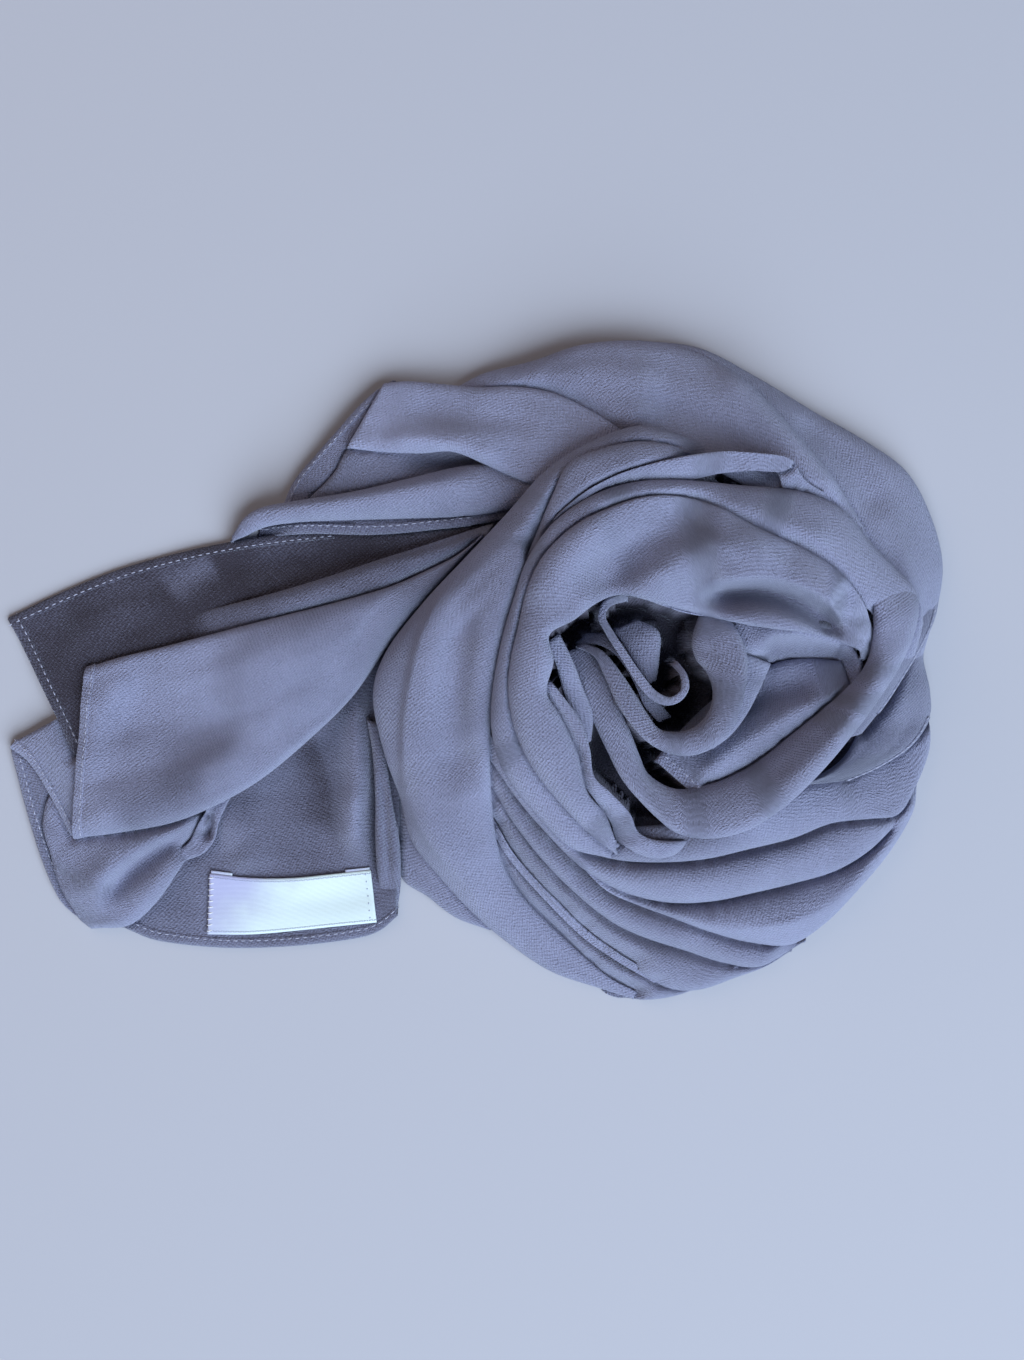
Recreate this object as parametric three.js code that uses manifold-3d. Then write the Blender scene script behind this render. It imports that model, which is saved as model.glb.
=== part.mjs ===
// A plain headscarf of crepe chiffon, wound into a rosette on a table with its free end fanned out to the left.
// Millimetres, +Z up, the underside flat at z = 0, the origin under the middle of the whole scarf.
import * as THREE from "three";
import { mergeVertices } from "three/addons/utils/BufferGeometryUtils.js";
import Module from "manifold-3d";

const wasm = await Module();
wasm.setup();

// Driving sizes
const CLOTH_WALL = 1.6; // one stretch of cloth with the turned layer and the air it holds
const SEAM_GAP = 0.3; // between pieces that lie on each other
const FILL_GAP = 1; // between a stretch and the layers hidden in it
const LEAST_SECTIONS = 5; // of a stretch
const NARROW = 4.5; // a stretch narrower than this is one upright wall, without a hollow
const LABEL_THICKNESS = 0.8;
const VIEW_HEIGHT = 600; // the plan below is drawn as seen from this height over VIEW_CENTRE
const VIEW_CENTRE = { x: 12.4, y: -3.8 };
const PLAN_SHIFT = { x: 1.2, y: -0.2 }; // brings the middle of the scarf over the origin

const CLOTH = { color: 0x74778f, roughness: 0.85, metalness: 0 };
const CORE_CLOTH = { color: 0x5d5f78, roughness: 0.9, metalness: 0 };
const LABEL_SATIN = { color: 0xd9e2f5, roughness: 0.4, metalness: 0 };

// Each stretch of cloth runs through sections from its edge a to its edge b. The x and y of an edge are where
// it is seen in the plan, z is how high the cloth lies there, and crown is how far its middle swells over that.
const COLUMNS = ["ax", "ay", "az", "bx", "by", "bz", "crown"];

// Bottom layer first. folds holds the radius of the turn at edge a and at edge b, filled says whether hidden
// layers fill the stretch, and step is the distance between two of its sections.
const STRETCHES = [
  {
    name: "outer_right",
    folds: [4, 3],
    filled: true,
    step: 26,
    rows: [
      [58, 119.3, 7, 62, 104, 20, 1],
      [80, 116.5, 8, 78, 100, 24, 2],
      [100, 106.5, 8, 92, 90, 25, 2],
      [120, 94.5, 8, 108, 78, 26, 2],
      [140, 83, 8, 122, 64, 26, 2],
      [155, 72, 8, 132, 50, 26, 2],
      [163.5, 57, 8, 140, 38, 26, 2],
      [168.2, 40, 8, 146, 26, 24, 2],
      [167, 25, 8, 148, 12, 22, 1],
      [162, 8, 7, 148, -2, 18, 0],
    ],
  },
  {
    name: "under_layer",
    folds: [1.6, 2],
    filled: false,
    step: 26,
    rows: [
      [-29.5, -44, 4, -18, -36, 9, 0],
      [-29, -60, 4, -14, -48, 9, 0],
      [-27.5, -75, 4, -12, -58, 9, 0],
      [-18, -82, 4, -4, -68, 9, 0],
      [-8, -89.5, 4, 4, -76, 8, 0],
      [4, -94, 4, 10, -86, 6, 0],
    ],
  },
  {
    name: "label_panel",
    folds: [1.2, 1.5],
    filled: false,
    step: 26,
    rows: [
      [-137, -92.5, 2.2, -100, -12, 5, 0],
      [-127, -93.2, 2.2, -96, -10, 5, 0],
      [-115, -97.5, 2.2, -86, -8, 5, 0],
      [-92, -100, 2.2, -74, -6, 6, 0],
      [-68, -99.5, 2.2, -60, 2, 6, 0],
      [-46, -97, 2.2, -47, 10, 6, 0],
      [-36, -94.2, 2.4, -38, 16, 6, 0],
      [-29.5, -89, 2.6, -26, 20, 6, 0],
    ],
  },
  {
    name: "left_hem_corner",
    folds: [1.2, 1.5],
    filled: false,
    step: 26,
    rows: [
      [-168.4, -27.6, 2.6, -150, -24, 4, 0],
      [-166, -37, 2.4, -146, -34, 4, 0],
      [-162, -52, 2.2, -142, -48, 4, 0],
      [-156.5, -69.5, 2.2, -138, -62, 4, 0],
      [-150, -83.5, 2.2, -130, -74, 4, 0],
      [-142, -91.2, 2.2, -124, -84, 4, 0],
    ],
  },
  {
    name: "label_side_fold",
    folds: [2.5, 2.5],
    filled: false,
    step: 26,
    rows: [
      [-33, -32, 9, -38, -30, 9, 1],
      [-31, -46, 9, -37, -46, 9, 1],
      [-28.2, -62, 8, -37, -62, 8, 1],
      [-27.8, -76, 6.5, -36, -76, 6, 1],
      [-29, -86, 4, -34, -86.5, 4, 0.5],
    ],
  },
  {
    name: "corner_flap",
    folds: [1.2, 2],
    filled: false,
    step: 26,
    rows: [
      [-168.2, -28, 4, -166, -25.5, 4, 0],
      [-161, -34, 5.5, -156, -20, 6, 0.5],
      [-153.5, -46, 6, -147, -15.5, 8, 0.5],
      [-146, -60.5, 6.5, -136, -16, 9, 0.5],
    ],
  },
  {
    name: "lower_lobe",
    folds: [3, 2],
    filled: true,
    step: 16,
    rows: [
      [-139, -93.5, 4.5, -148, -87, 4, 0],
      [-126, -92.5, 7, -153, -76, 5, 2.5],
      [-115.5, -83.5, 8, -152, -66, 6.5, 3],
      [-108.5, -73.5, 8.5, -142, -59, 8, 2.5],
      [-103, -65, 9, -124, -54, 9, 1.5],
      [-96, -53.5, 9, -104, -48, 9.5, 0.5],
    ],
  },
  {
    name: "little_loop",
    folds: [1.6, 1.6],
    filled: false,
    step: 12,
    rows: [
      [-88, -44, 8.5, -94, -44, 9, 0],
      [-93, -54, 9, -100, -54, 9, -1],
      [-94.8, -61, 8, -102, -58, 8, -2],
      [-99, -66.4, 7, -104, -62, 7, -1],
      [-105.5, -69, 5.5, -108, -65.5, 6, 0],
    ],
  },
  {
    name: "corner_panel",
    folds: [1.4, 2],
    filled: true,
    step: 26,
    rows: [
      [-169, 18.4, 1.8, -145, -31, 6, -0.5],
      [-150, 27.5, 1.8, -128, -10, 8, -1],
      [-130, 35.5, 2, -112, 2, 9, -1],
      [-110, 41.2, 2.5, -94, 8, 10, -1],
      [-90, 45.6, 3.5, -76, 13, 12, -1.5],
      [-70, 48.7, 5, -58, 18, 13, -2],
      [-45, 51.5, 8, -38, 26, 14, -2],
      [-20, 53.5, 11, -16, 37, 16, -2],
      [10, 60, 14, 12, 48, 18, 0],
    ],
  },
  {
    name: "panel_roll",
    folds: [3, 2.5],
    filled: false,
    step: 26,
    rows: [
      [-131, 11, 8, -131, 2, 8, 0],
      [-115, 17, 9.5, -114, 4, 10, 0.8],
      [-98, 21.6, 11.5, -96, 9, 12, 1.5],
      [-78, 26.6, 13.5, -76, 14, 14, 2],
      [-58, 32.4, 15.5, -56, 19, 16, 2],
      [-38, 39, 17, -36, 25, 17, 2],
      [-18, 45.4, 18.5, -18, 33, 19, 1.5],
      [6, 53.5, 20, 0, 42, 21, 1],
    ],
  },
  {
    name: "front_panel",
    folds: [2.5, 2.5],
    filled: true,
    step: 26,
    rows: [
      [-141.5, 0.5, 8, -146, -61, 8, 1],
      [-130, 4.2, 10, -129, -58.8, 9, 1.5],
      [-113, 8.4, 12, -111, -55.5, 10, 1],
      [-92, 13.8, 14, -95, -49.3, 11.5, 2.5],
      [-70, 19.4, 16, -78, -39.5, 13, 4],
      [-50, 24.4, 17.5, -60, -24.5, 14, 3.5],
      [-33, 29.3, 18.5, -45, -9.5, 15, 2.5],
      [-18, 36, 20, -32, 9, 16, 2],
      [-8, 41, 21, -20, 24, 18, 1],
      [2, 48.5, 22, -5, 41, 21, 0],
    ],
  },
  {
    name: "back_hem",
    folds: [1.4, 1.4],
    filled: false,
    step: 26,
    rows: [
      [-78, 56, 8, -80, 48, 8, 0],
      [-60, 58, 10, -60, 49.2, 9.5, 0],
      [-38, 60, 12, -38, 48.8, 11.5, 0],
      [-18, 62, 14, -18, 50.4, 13.5, 0],
      [4, 65, 16, 6, 53.5, 15.5, 0],
      [20, 72, 16, 24, 60, 15.5, 0],
    ],
  },
  {
    name: "folded_strip",
    folds: [2.5, 2.5],
    filled: true,
    step: 23,
    rows: [
      [-88.2, 48.5, 6, -88.6, 46, 6, 0],
      [-84, 55, 9, -84, 48, 8, 0.5],
      [-77, 58.8, 11, -76, 51.5, 10, 1.5],
      [-63, 61.2, 13, -63, 53.2, 12, 2],
      [-44, 64.4, 15, -44, 54, 14, 2.5],
      [-25, 69, 16, -25, 54.6, 16, 3],
      [-6, 73.5, 17, -6, 55.4, 18, 3],
      [10, 75, 19, 12, 58, 20, 1],
      [26, 80, 19, 28, 64, 20, 0],
    ],
  },
  {
    name: "flap_under",
    folds: [2.5, 1.6],
    filled: false,
    step: 16,
    rows: [
      [-70.5, 58, 5, -60, 58, 8, 0],
      [-66, 68, 6, -53, 64, 9, 0],
      [-59, 76.5, 7, -47, 75, 10, 0],
      [-51, 85.5, 8, -42, 84, 10, 0],
      [-42.5, 95, 8, -36, 92, 10, 0],
      [-34, 102.3, 7.5, -31, 98, 9, 0],
      [-30.5, 104.4, 6, -27, 100, 7, 0],
    ],
  },
  {
    name: "flap_lower",
    folds: [2.2, 2.2],
    filled: true,
    step: 26,
    rows: [
      [-60, 62.5, 9, -56, 58, 9, 0],
      [-52, 71, 11.5, -46, 58, 12, 0.5],
      [-45, 82, 13, -34, 60, 13, 0],
      [-32, 86, 14, -20, 64, 13, -1],
      [-14, 84, 15, -6, 68, 12, -2],
      [6, 80, 16, 10, 66, 14, -2],
      [22, 80, 16, 26, 68, 14, 0],
    ],
  },
  {
    name: "flap_top",
    folds: [2.4, 2.2],
    filled: true,
    step: 26,
    rows: [
      [-33.5, 103.5, 9, -47, 80, 13.5, 0],
      [-25, 104.2, 10.5, -34, 78.5, 15.5, 0.5],
      [-12, 103.1, 12, -21, 78, 18, 1],
      [0, 102, 14, -9, 78.4, 20, 1.5],
      [13, 102.3, 16, 3, 73.8, 21, 2],
      [26, 100.3, 18, 12, 69.8, 22, 2],
      [38, 95.2, 19, 20, 67, 23, 1],
      [50, 88, 20, 30, 68, 24, 0],
    ],
  },
  {
    name: "top_sweep",
    folds: [3.5, 3],
    filled: true,
    step: 26,
    rows: [
      [-9, 101.5, 6, 4, 92, 12, 0],
      [3, 107.5, 9, 16, 92, 18, 1],
      [20, 111.6, 11, 30, 86, 22, 2],
      [38, 117.6, 12, 42, 78, 26, 3],
      [60, 118.9, 13, 62, 74, 29, 4],
      [80, 114.2, 15, 78, 76, 31, 4],
      [96, 104.4, 18, 90, 70, 33, 4],
      [110, 90.5, 21, 102, 64, 34, 3],
      [124, 74.5, 24, 113, 58, 35, 2],
      [135, 59.5, 27, 124, 50, 35, 1],
      [143, 45, 29, 132, 40, 34, 0.5],
    ],
  },
  {
    name: "right_fold_low",
    folds: [3, 2.5],
    filled: true,
    step: 26,
    rows: [
      [163.5, 16, 8, 148, 8, 18, 1],
      [161.8, 4, 9, 144, -6, 20, 1],
      [163.6, -8, 9, 141, -16, 21, 1.5],
      [163.4, -17, 9, 137, -24, 21, 1.5],
      [157, -27, 11, 132, -32, 22, 1.5],
      [146, -34.5, 13, 124, -38, 23, 1],
      [134, -40, 15, 114, -42, 24, 0],
    ],
  },
  {
    name: "right_fold_high",
    folds: [2.5, 2.5],
    filled: true,
    step: 26,
    rows: [
      [168, 33, 10, 152, 24, 20, 0],
      [166, 21, 11, 150, 12, 22, 0.5],
      [160.5, 9, 13, 145, 1, 24, 0.5],
      [154.5, -1, 15, 140, -10, 25, 0.5],
      [147.5, -12, 17, 132, -20, 26, 0.5],
      [139, -23, 19, 122, -28, 26, 0],
    ],
  },
  {
    name: "swirl_end",
    folds: [2.5, 2.5],
    filled: false,
    step: 26,
    rows: [
      [5, -63, 19, 7, -54, 21, 0],
      [9.5, -75, 17, 15, -68, 19, 1],
      [16, -87, 14, 24, -81, 16, 1.5],
      [27, -98.5, 11, 35, -92, 14, 2],
      [38, -109.5, 8.5, 47, -101, 12, 2],
      [47, -117.5, 6, 57, -107, 10, 2],
      [59, -119.4, 5, 67, -111, 8, 1],
      [72, -117.8, 4, 76, -113, 5, 0],
    ],
  },
  {
    name: "swirl_fourth",
    folds: [2.6, 2.5],
    filled: false,
    step: 26,
    rows: [
      [5, -52.5, 22, 7, -44, 24, 0],
      [12, -64.5, 20.5, 18, -57, 22, 1],
      [21, -77, 18, 28, -70, 20, 1.5],
      [32, -89.5, 15, 39, -82, 17, 2],
      [44, -99.5, 12, 51, -91, 15, 2],
      [56, -107.5, 9.5, 63, -97, 13, 2],
      [68, -114.8, 7, 76, -101, 11, 2],
      [80, -115.8, 6, 86, -103, 10, 2],
      [94, -111, 5, 97, -102, 8, 1],
      [105, -106.8, 4, 105, -101, 5, 0],
    ],
  },
  {
    name: "swirl_pin",
    folds: [1.2, 1.2],
    filled: false,
    step: 26,
    rows: [
      [12, -69.5, 18, 14.5, -68.5, 18, 0],
      [24, -83.2, 15.5, 26.4, -81.8, 16, 0.3],
      [37, -96.2, 12.5, 39, -94.4, 13.5, 0.3],
      [50, -105.2, 10, 51.6, -103, 11, 0.3],
      [63.5, -113, 7, 65, -111, 8, 0],
    ],
  },
  {
    name: "swirl_third",
    folds: [2.6, 2.5],
    filled: false,
    step: 26,
    rows: [
      [5, -42.5, 25.5, 7, -35, 27, 0],
      [13, -55.5, 24.5, 18, -47.5, 26, 1],
      [24, -69.5, 22, 30, -61.5, 24, 1.5],
      [36, -81.5, 19, 42, -73, 22, 2],
      [48, -91, 16, 54, -80, 19, 2],
      [60, -96.8, 13.5, 65, -85, 17, 2],
      [74, -101.3, 11, 78, -89, 15, 2],
      [88, -105.8, 9, 91, -93, 13, 2],
      [101, -107.6, 7, 103, -96, 11, 1.5],
      [111, -102.8, 5, 112, -97, 7, 0],
    ],
  },
  {
    name: "swirl_second",
    folds: [3, 3],
    filled: true,
    step: 26,
    rows: [
      [46, -79.5, 18, 49, -73, 21, 0],
      [57, -84.8, 17, 58, -76, 20, 1],
      [70, -89.6, 15.5, 70, -78, 19, 2],
      [84, -94.8, 13.5, 83, -77, 19, 3],
      [98, -98.6, 11, 97, -74, 18, 4],
      [113, -99.5, 9, 110, -70, 18, 4.5],
      [126, -91.5, 8, 121, -66, 17, 4.5],
      [138, -79, 8, 132, -61, 16, 4],
      [149, -66, 8, 142, -54, 14, 3],
      [157, -52, 8, 150, -46, 12, 2],
      [160.5, -39, 8, 154, -36, 10, 1],
    ],
  },
  {
    name: "swirl_first",
    folds: [3, 3],
    filled: true,
    step: 26,
    rows: [
      [5, -33.5, 28, 8, -27, 30, 0],
      [14, -46.5, 27, 19, -39.5, 29, 1],
      [26, -60.5, 25, 31, -51.5, 28, 1.5],
      [38, -72, 23, 43, -61, 27, 2],
      [52, -80.2, 20, 55, -64, 26, 3],
      [68, -84.2, 18, 68, -65, 25, 4],
      [84, -84, 17, 83, -64, 25, 4],
      [100, -80.8, 16.5, 98, -61, 25, 4],
      [115, -77.2, 15.5, 113, -57, 24, 3.5],
      [129, -73, 14.5, 126, -52, 23, 3],
      [141, -66, 13.5, 138, -50, 20, 2],
      [150, -57, 12, 147, -48, 16, 1],
      [157, -47.5, 10, 152, -43, 12, 0],
    ],
  },
  {
    name: "swirl_inner",
    folds: [2.6, 3],
    filled: true,
    step: 26,
    rows: [
      [38, -65.5, 24, 42, -58, 26, 0],
      [50, -68.8, 24, 54, -57, 27, 1],
      [65, -69.8, 24, 67, -56, 28, 1],
      [82, -68.6, 24, 80, -54, 29, 1],
      [98, -65, 23, 94, -50, 29, 1.5],
      [114, -61, 22, 108, -44, 29, 2],
      [128, -55.6, 21, 120, -39, 28, 2],
      [142, -54, 19, 132, -35, 26, 2],
      [152, -52.4, 16, 141, -32, 24, 2],
      [158, -43, 13, 149, -30, 20, 1.5],
      [163, -30, 11, 154, -24, 16, 1],
      [163.4, -19.5, 9.5, 157, -17, 12, 0],
    ],
  },
  {
    name: "broad_band",
    folds: [3.5, 3],
    filled: true,
    step: 23,
    rows: [
      [44, -115, 3.5, 46, -110, 5, 0],
      [26, -109, 5, 30, -96, 8, 0],
      [9, -97.5, 7, 17, -83, 12, 1],
      [-3, -87, 9, 10, -72, 15, 2],
      [-14, -75, 11, 6.5, -60, 20, 3],
      [-24, -62, 13, 5, -46, 25, 4],
      [-28, -47, 15, 4.5, -32, 30, 4],
      [-34, -30, 17, 4.8, -18, 33, 4],
      [-38, -10, 19, 6, -5, 35, 4],
      [-33.5, 6, 21, 9.5, 10, 37, 4],
      [-20, 24, 23, 13.8, 25, 38, 4],
      [-5, 40, 26, 19, 40, 39, 3.5],
      [10, 56, 28, 26.5, 52.5, 40, 3],
      [24, 71.5, 30, 38, 62.5, 41, 2.5],
      [40, 82, 32, 50, 69, 41, 2],
      [58, 88.3, 33, 62, 74, 41, 1.5],
      [72, 85.2, 33, 75, 76, 40, 1],
      [92, 78.6, 31, 89, 71, 33, 0],
    ],
  },
  {
    name: "pleat_upper",
    folds: [2, 2],
    filled: false,
    step: 26,
    rows: [
      [15, 54, 32, 24, 48, 39, 0],
      [24, 66.5, 36, 31, 57, 42, 0.5],
      [33, 74.4, 38, 39, 64, 43, 0.5],
      [45, 79.8, 39, 50, 69, 44, 1],
      [58, 82.4, 39.5, 60, 73, 44, 1],
      [70, 81, 39, 70, 74, 43, 0.5],
      [82, 76.8, 36, 80, 74, 39, 0],
    ],
  },
  {
    name: "pleat_tip",
    folds: [1.8, 1.8],
    filled: false,
    step: 26,
    rows: [
      [109, 77.4, 36, 104, 74, 36, 0],
      [114, 75.2, 38, 108, 71, 37, 0],
      [117, 70, 38, 110, 67, 38, 0],
      [122, 66, 37, 114, 62, 39, 0],
      [131, 61.6, 34, 122, 56, 38, 0],
    ],
  },
  {
    name: "pleat_crest",
    folds: [2, 1.8],
    filled: false,
    step: 22,
    rows: [
      [20, 42.5, 40, 25, 37.5, 43, 0],
      [27.5, 54, 43, 31.5, 48.5, 45, 0.3],
      [38, 63.6, 45, 41, 57.5, 47, 0.5],
      [50, 70.2, 46, 52, 64, 48, 0.5],
      [62, 74.2, 46, 63, 67.5, 48, 0.5],
      [75, 77.2, 45, 76, 69, 47, 0.5],
      [88, 78.9, 44, 87, 71, 45, 0.5],
      [100, 78.3, 43, 99, 72, 43.5, 0.5],
      [110, 77.2, 41.5, 109, 71.5, 41.5, 0.3],
      [114, 75.4, 40, 113, 72.8, 40, 0],
    ],
  },
  {
    name: "inner_band",
    folds: [2.6, 2.6],
    filled: false,
    step: 22,
    rows: [
      [47, -68, 25, 51, -63, 27, 0],
      [33, -64, 29, 39, -55, 31, 1],
      [20, -51, 32, 27, -42, 35, 1.5],
      [9.5, -37, 34, 18, -29, 38, 1.5],
      [5, -22, 35, 14, -17, 40, 1.5],
      [5.4, -7, 36, 13, -5, 41, 1.5],
      [8.5, 10, 38, 16, 8, 42, 1.5],
      [12.8, 25, 39, 19, 21, 43, 1.5],
      [18, 40, 41, 24, 35, 44, 1],
      [27, 52.6, 42, 33, 47, 45, 1],
      [39, 61.6, 43, 44, 54, 46, 1],
      [52, 66.8, 43, 54, 58, 46, 1],
      [66, 68.6, 42, 66, 59, 46, 1],
      [80, 68.2, 41, 78, 57, 46, 1.5],
      [95, 66.7, 39, 90, 50, 45, 2.5],
      [110, 65.6, 37, 102, 44, 44, 3.5],
      [123, 62.6, 35, 114, 39, 43, 4],
      [133, 57, 33, 124, 33, 41, 4],
      [142, 46, 31, 133, 27, 39, 3.5],
      [151, 36.5, 29, 139, 23, 37, 2.5],
      [158, 29, 28, 143, 20, 35, 1],
    ],
  },
  {
    name: "petal_lip",
    folds: [2.5, 2.2],
    filled: false,
    step: 26,
    rows: [
      [44, 36, 36, 42, 27, 34, 0],
      [56, 40, 42, 52, 28, 38, 0],
      [72, 38, 42, 68, 22.6, 39, 0.5],
      [90, 35, 40, 84, 19, 39, 0.5],
      [106, 31, 38, 100, 15.6, 38.5, 0],
      [120, 25, 36, 116, 13.7, 38, -0.5],
      [131, 17, 34, 129, 11, 37, -1],
      [139, 10, 35, 137, 7.4, 36, 0],
    ],
  },
  {
    name: "petal_main",
    folds: [3, 3],
    filled: true,
    step: 22,
    rows: [
      [50, -66.8, 27, 49.5, -61, 29, 0],
      [40, -59, 33, 46, -52, 35, 1],
      [30, -48.6, 37, 39.5, -44, 40, 1.5],
      [20, -36, 40, 36, -30, 43, 2],
      [13.5, -22, 42, 30, -17, 46, 2],
      [11, -8, 43, 25, -8, 47, 2],
      [12, 4, 44, 27.5, 3, 48, 2],
      [14.5, 15, 44, 26, 12.5, 48, 1.5],
      [17.5, 28, 45, 35, 18, 48, 1.5],
      [23, 40, 46, 44, 23.4, 48, 2],
      [32.5, 50, 47, 49, 32, 48, 2],
      [45, 57.4, 48, 59, 37.5, 46, 1.5],
      [60, 62.6, 49, 71, 36.5, 45, 0.5],
      [75, 63, 49, 80, 33.6, 46, 0.5],
      [88, 58.6, 48, 92, 33.2, 48, 1],
      [102, 50.8, 47, 106, 31.4, 48, 1.5],
      [118, 43.6, 45, 118, 26.2, 47, 2],
      [131, 35, 42, 127, 20, 45, 2],
      [140, 23, 39, 134, 14, 42, 1.5],
      [144, 11, 36, 139.2, 9.4, 39, 0.5],
      [140, 3.4, 33, 138, 4.6, 35, 0],
    ],
  },
  {
    name: "petal_tuck",
    folds: [2.2, 2.2],
    filled: false,
    step: 14,
    rows: [
      [93, 5, 33, 92, 20, 32, 0],
      [103, 2, 36, 103, 18, 34, 0.5],
      [114, -1, 37.5, 114, 17, 34, 1],
      [124, -4.6, 37.5, 125, 15, 33, 1],
      [131, -8.8, 36.5, 133, 11, 32, 1],
      [136.6, -12, 34, 139, 3, 31, 0.5],
    ],
  },
  {
    name: "petal_hemmed",
    folds: [2.2, 1.6],
    filled: false,
    step: 14,
    rows: [
      [81.5, -48.4, 33, 64, -32.6, 31, 0],
      [90, -44.2, 37, 74, -23, 29, 1],
      [100, -39.8, 39, 84, -15, 27, 2],
      [110, -34.6, 39.5, 97, -8, 26, 2.5],
      [120, -26.8, 39, 109, -4, 25, 3],
      [129, -20.6, 37.5, 120, -3, 25, 2],
      [136.8, -13.6, 34, 131, -3, 28, 0],
    ],
  },
  {
    name: "petal_outer",
    folds: [3, 2.6],
    filled: false,
    step: 23,
    rows: [
      [151, 37, 29, 140, 34, 36, 0],
      [158.8, 28, 30, 143, 27, 37, 1],
      [159, 17, 31, 143, 13, 36, 2],
      [154, 3.6, 33, 140, 2, 34, 2.5],
      [146, -9, 35, 133, -7, 33, 3],
      [137, -21.4, 37, 124, -15, 33, 3],
      [126, -35, 39, 113, -24, 33, 2.5],
      [113, -48, 41, 103, -32, 33, 2],
      [99, -57.6, 42, 93, -38, 34, 2],
      [85, -61.2, 42, 82, -42, 35, 2],
      [73, -59.6, 41, 71, -43, 36, 1.5],
      [64, -53, 39.5, 62, -38, 36, 1],
      [53, -41, 38, 58.5, -31, 35, 1],
      [46.5, -29, 36, 55, -22, 34, 1],
      [41, -17, 34, 50.5, -12, 33, 1],
      [36, -5, 32, 46, -1, 31, 0.5],
      [31, 6, 28, 40, 9, 28, 0],
    ],
  },
  {
    name: "left_sliver",
    folds: [1.8, 1.8],
    filled: false,
    step: 14,
    rows: [
      [25, 9.6, 40, 29.5, 13, 38, 0],
      [28.5, 1, 39, 34.5, 3, 38, 0.5],
      [31, -8, 37, 38, -6.4, 36, 0.5],
      [35, -17, 35, 41.6, -16, 34, 0.5],
      [39, -27, 32, 41, -25.5, 32, 0],
    ],
  },
  {
    name: "left_roll",
    folds: [2, 2],
    filled: false,
    step: 14,
    rows: [
      [23.5, -5, 44, 26, -4, 45, 0],
      [27, -13, 43, 33, -12.4, 44, 0.5],
      [32, -22, 42, 38, -20, 43, 0.8],
      [35.6, -31, 41, 40.6, -29, 42, 0.8],
      [37.6, -40, 40, 42, -38.4, 41, 0.8],
      [43, -48, 38, 48, -44.4, 39, 0.8],
      [48, -55, 36, 55, -52, 37, 0.8],
      [51, -62, 33, 58, -58.6, 34, 0.8],
      [60, -67.4, 30, 64, -61.4, 32, 0.8],
      [68, -68, 29, 73, -61.8, 30, 0.5],
      [77, -65, 28, 81, -61.2, 28, 0],
    ],
  },
  {
    name: "ring_panel",
    folds: [1.6, 1.6],
    filled: false,
    step: 16,
    rows: [
      [36, 9, 28, 39, 13, 26, 0],
      [43, 9, 31, 47, 13, 28, 0],
      [50, 5, 32, 54, 8, 29, 0],
      [56, -4, 32, 60, -1, 29, 0],
      [60, -13, 32, 64, -10, 29, 0],
      [65, -19, 32, 70, -17, 28, 0],
    ],
  },
  {
    name: "ring_back",
    folds: [2, 2],
    filled: false,
    step: 14,
    rows: [
      [106, 2, 29, 95, 6, 33, 0],
      [101.5, -8, 32, 94, -7, 36, 0],
      [97, -16.5, 34, 90, -15, 37, 0],
      [91.5, -23.6, 35, 86, -20, 37, 0],
      [85, -28.6, 34, 82, -24, 36, 0],
    ],
  },
  {
    name: "centre_panel",
    folds: [1.6, 1.6],
    filled: false,
    step: 12,
    rows: [
      [49, 14, 26, 58, 18, 24, 0],
      [53.5, 8, 29, 65.5, 13.6, 27, 0.5],
      [58, 0.5, 30, 65.6, 4, 28, 0.5],
      [62, -5, 29, 64.5, -3.6, 27, 0],
    ],
  },
  {
    name: "ring_petal",
    folds: [2.4, 2.2],
    filled: false,
    step: 14,
    rows: [
      [36, 7.8, 32, 38, 9.6, 32, 0],
      [42, 4.6, 37, 45, 6.8, 37, 0],
      [46, -3, 40, 51.4, -0.6, 40, 0.5],
      [50, -12, 42, 57, -9, 41.5, 1],
      [55, -19.6, 43, 61, -15.6, 42, 1],
      [61, -26, 43.5, 65, -21, 42, 1.2],
      [68, -30, 44, 69.5, -22.4, 42.5, 1.2],
      [76, -31.2, 44, 75.5, -22, 42.5, 1.2],
      [84, -29, 44, 80.5, -19, 42, 1.2],
      [91, -23, 43.5, 84, -14, 41.5, 1.2],
      [95.4, -13, 43, 84.8, -7.4, 40, 1.5],
      [97.4, -3, 42, 82.6, -1, 38, 2],
      [97.2, 6, 41, 78.6, 4, 36, 2],
      [94, 14, 39, 77.4, 11, 35, 1.5],
      [90, 20, 36, 80, 20, 34, 0],
    ],
  },
  {
    name: "centre_loop",
    folds: [1.2, 1.2],
    filled: false,
    step: 8,
    rows: [
      [54, 27.6, 32, 54, 24.6, 32, 0],
      [46, 25.4, 36, 48, 22.8, 36, 0],
      [43.4, 19, 38, 46.2, 19, 38, 0],
      [46, 13, 39, 48.8, 14, 39, 0],
      [52, 3.6, 40, 54.8, 4.8, 40, 0],
      [57, -4.4, 40.5, 60, -2.6, 40.5, 0],
      [62, -10.4, 40.5, 64, -7.4, 40.5, 0],
      [67.6, -13, 40, 68.4, -9.8, 40, 0],
      [73, -11.6, 39.5, 71.6, -9, 39.5, 0],
      [76.2, -7, 38.5, 73.4, -6.4, 38.5, 0],
      [75.4, -1.6, 36, 72.8, -2, 36, 0],
      [72, 3, 32, 70, 1.4, 32, 0],
    ],
  },
];

// The mound of hidden layers under the eye of the rosette, as heights over a round footprint
const EYE = { x: 68, y: 0, radius: 80, height: 12, rounding: 5 };

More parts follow.
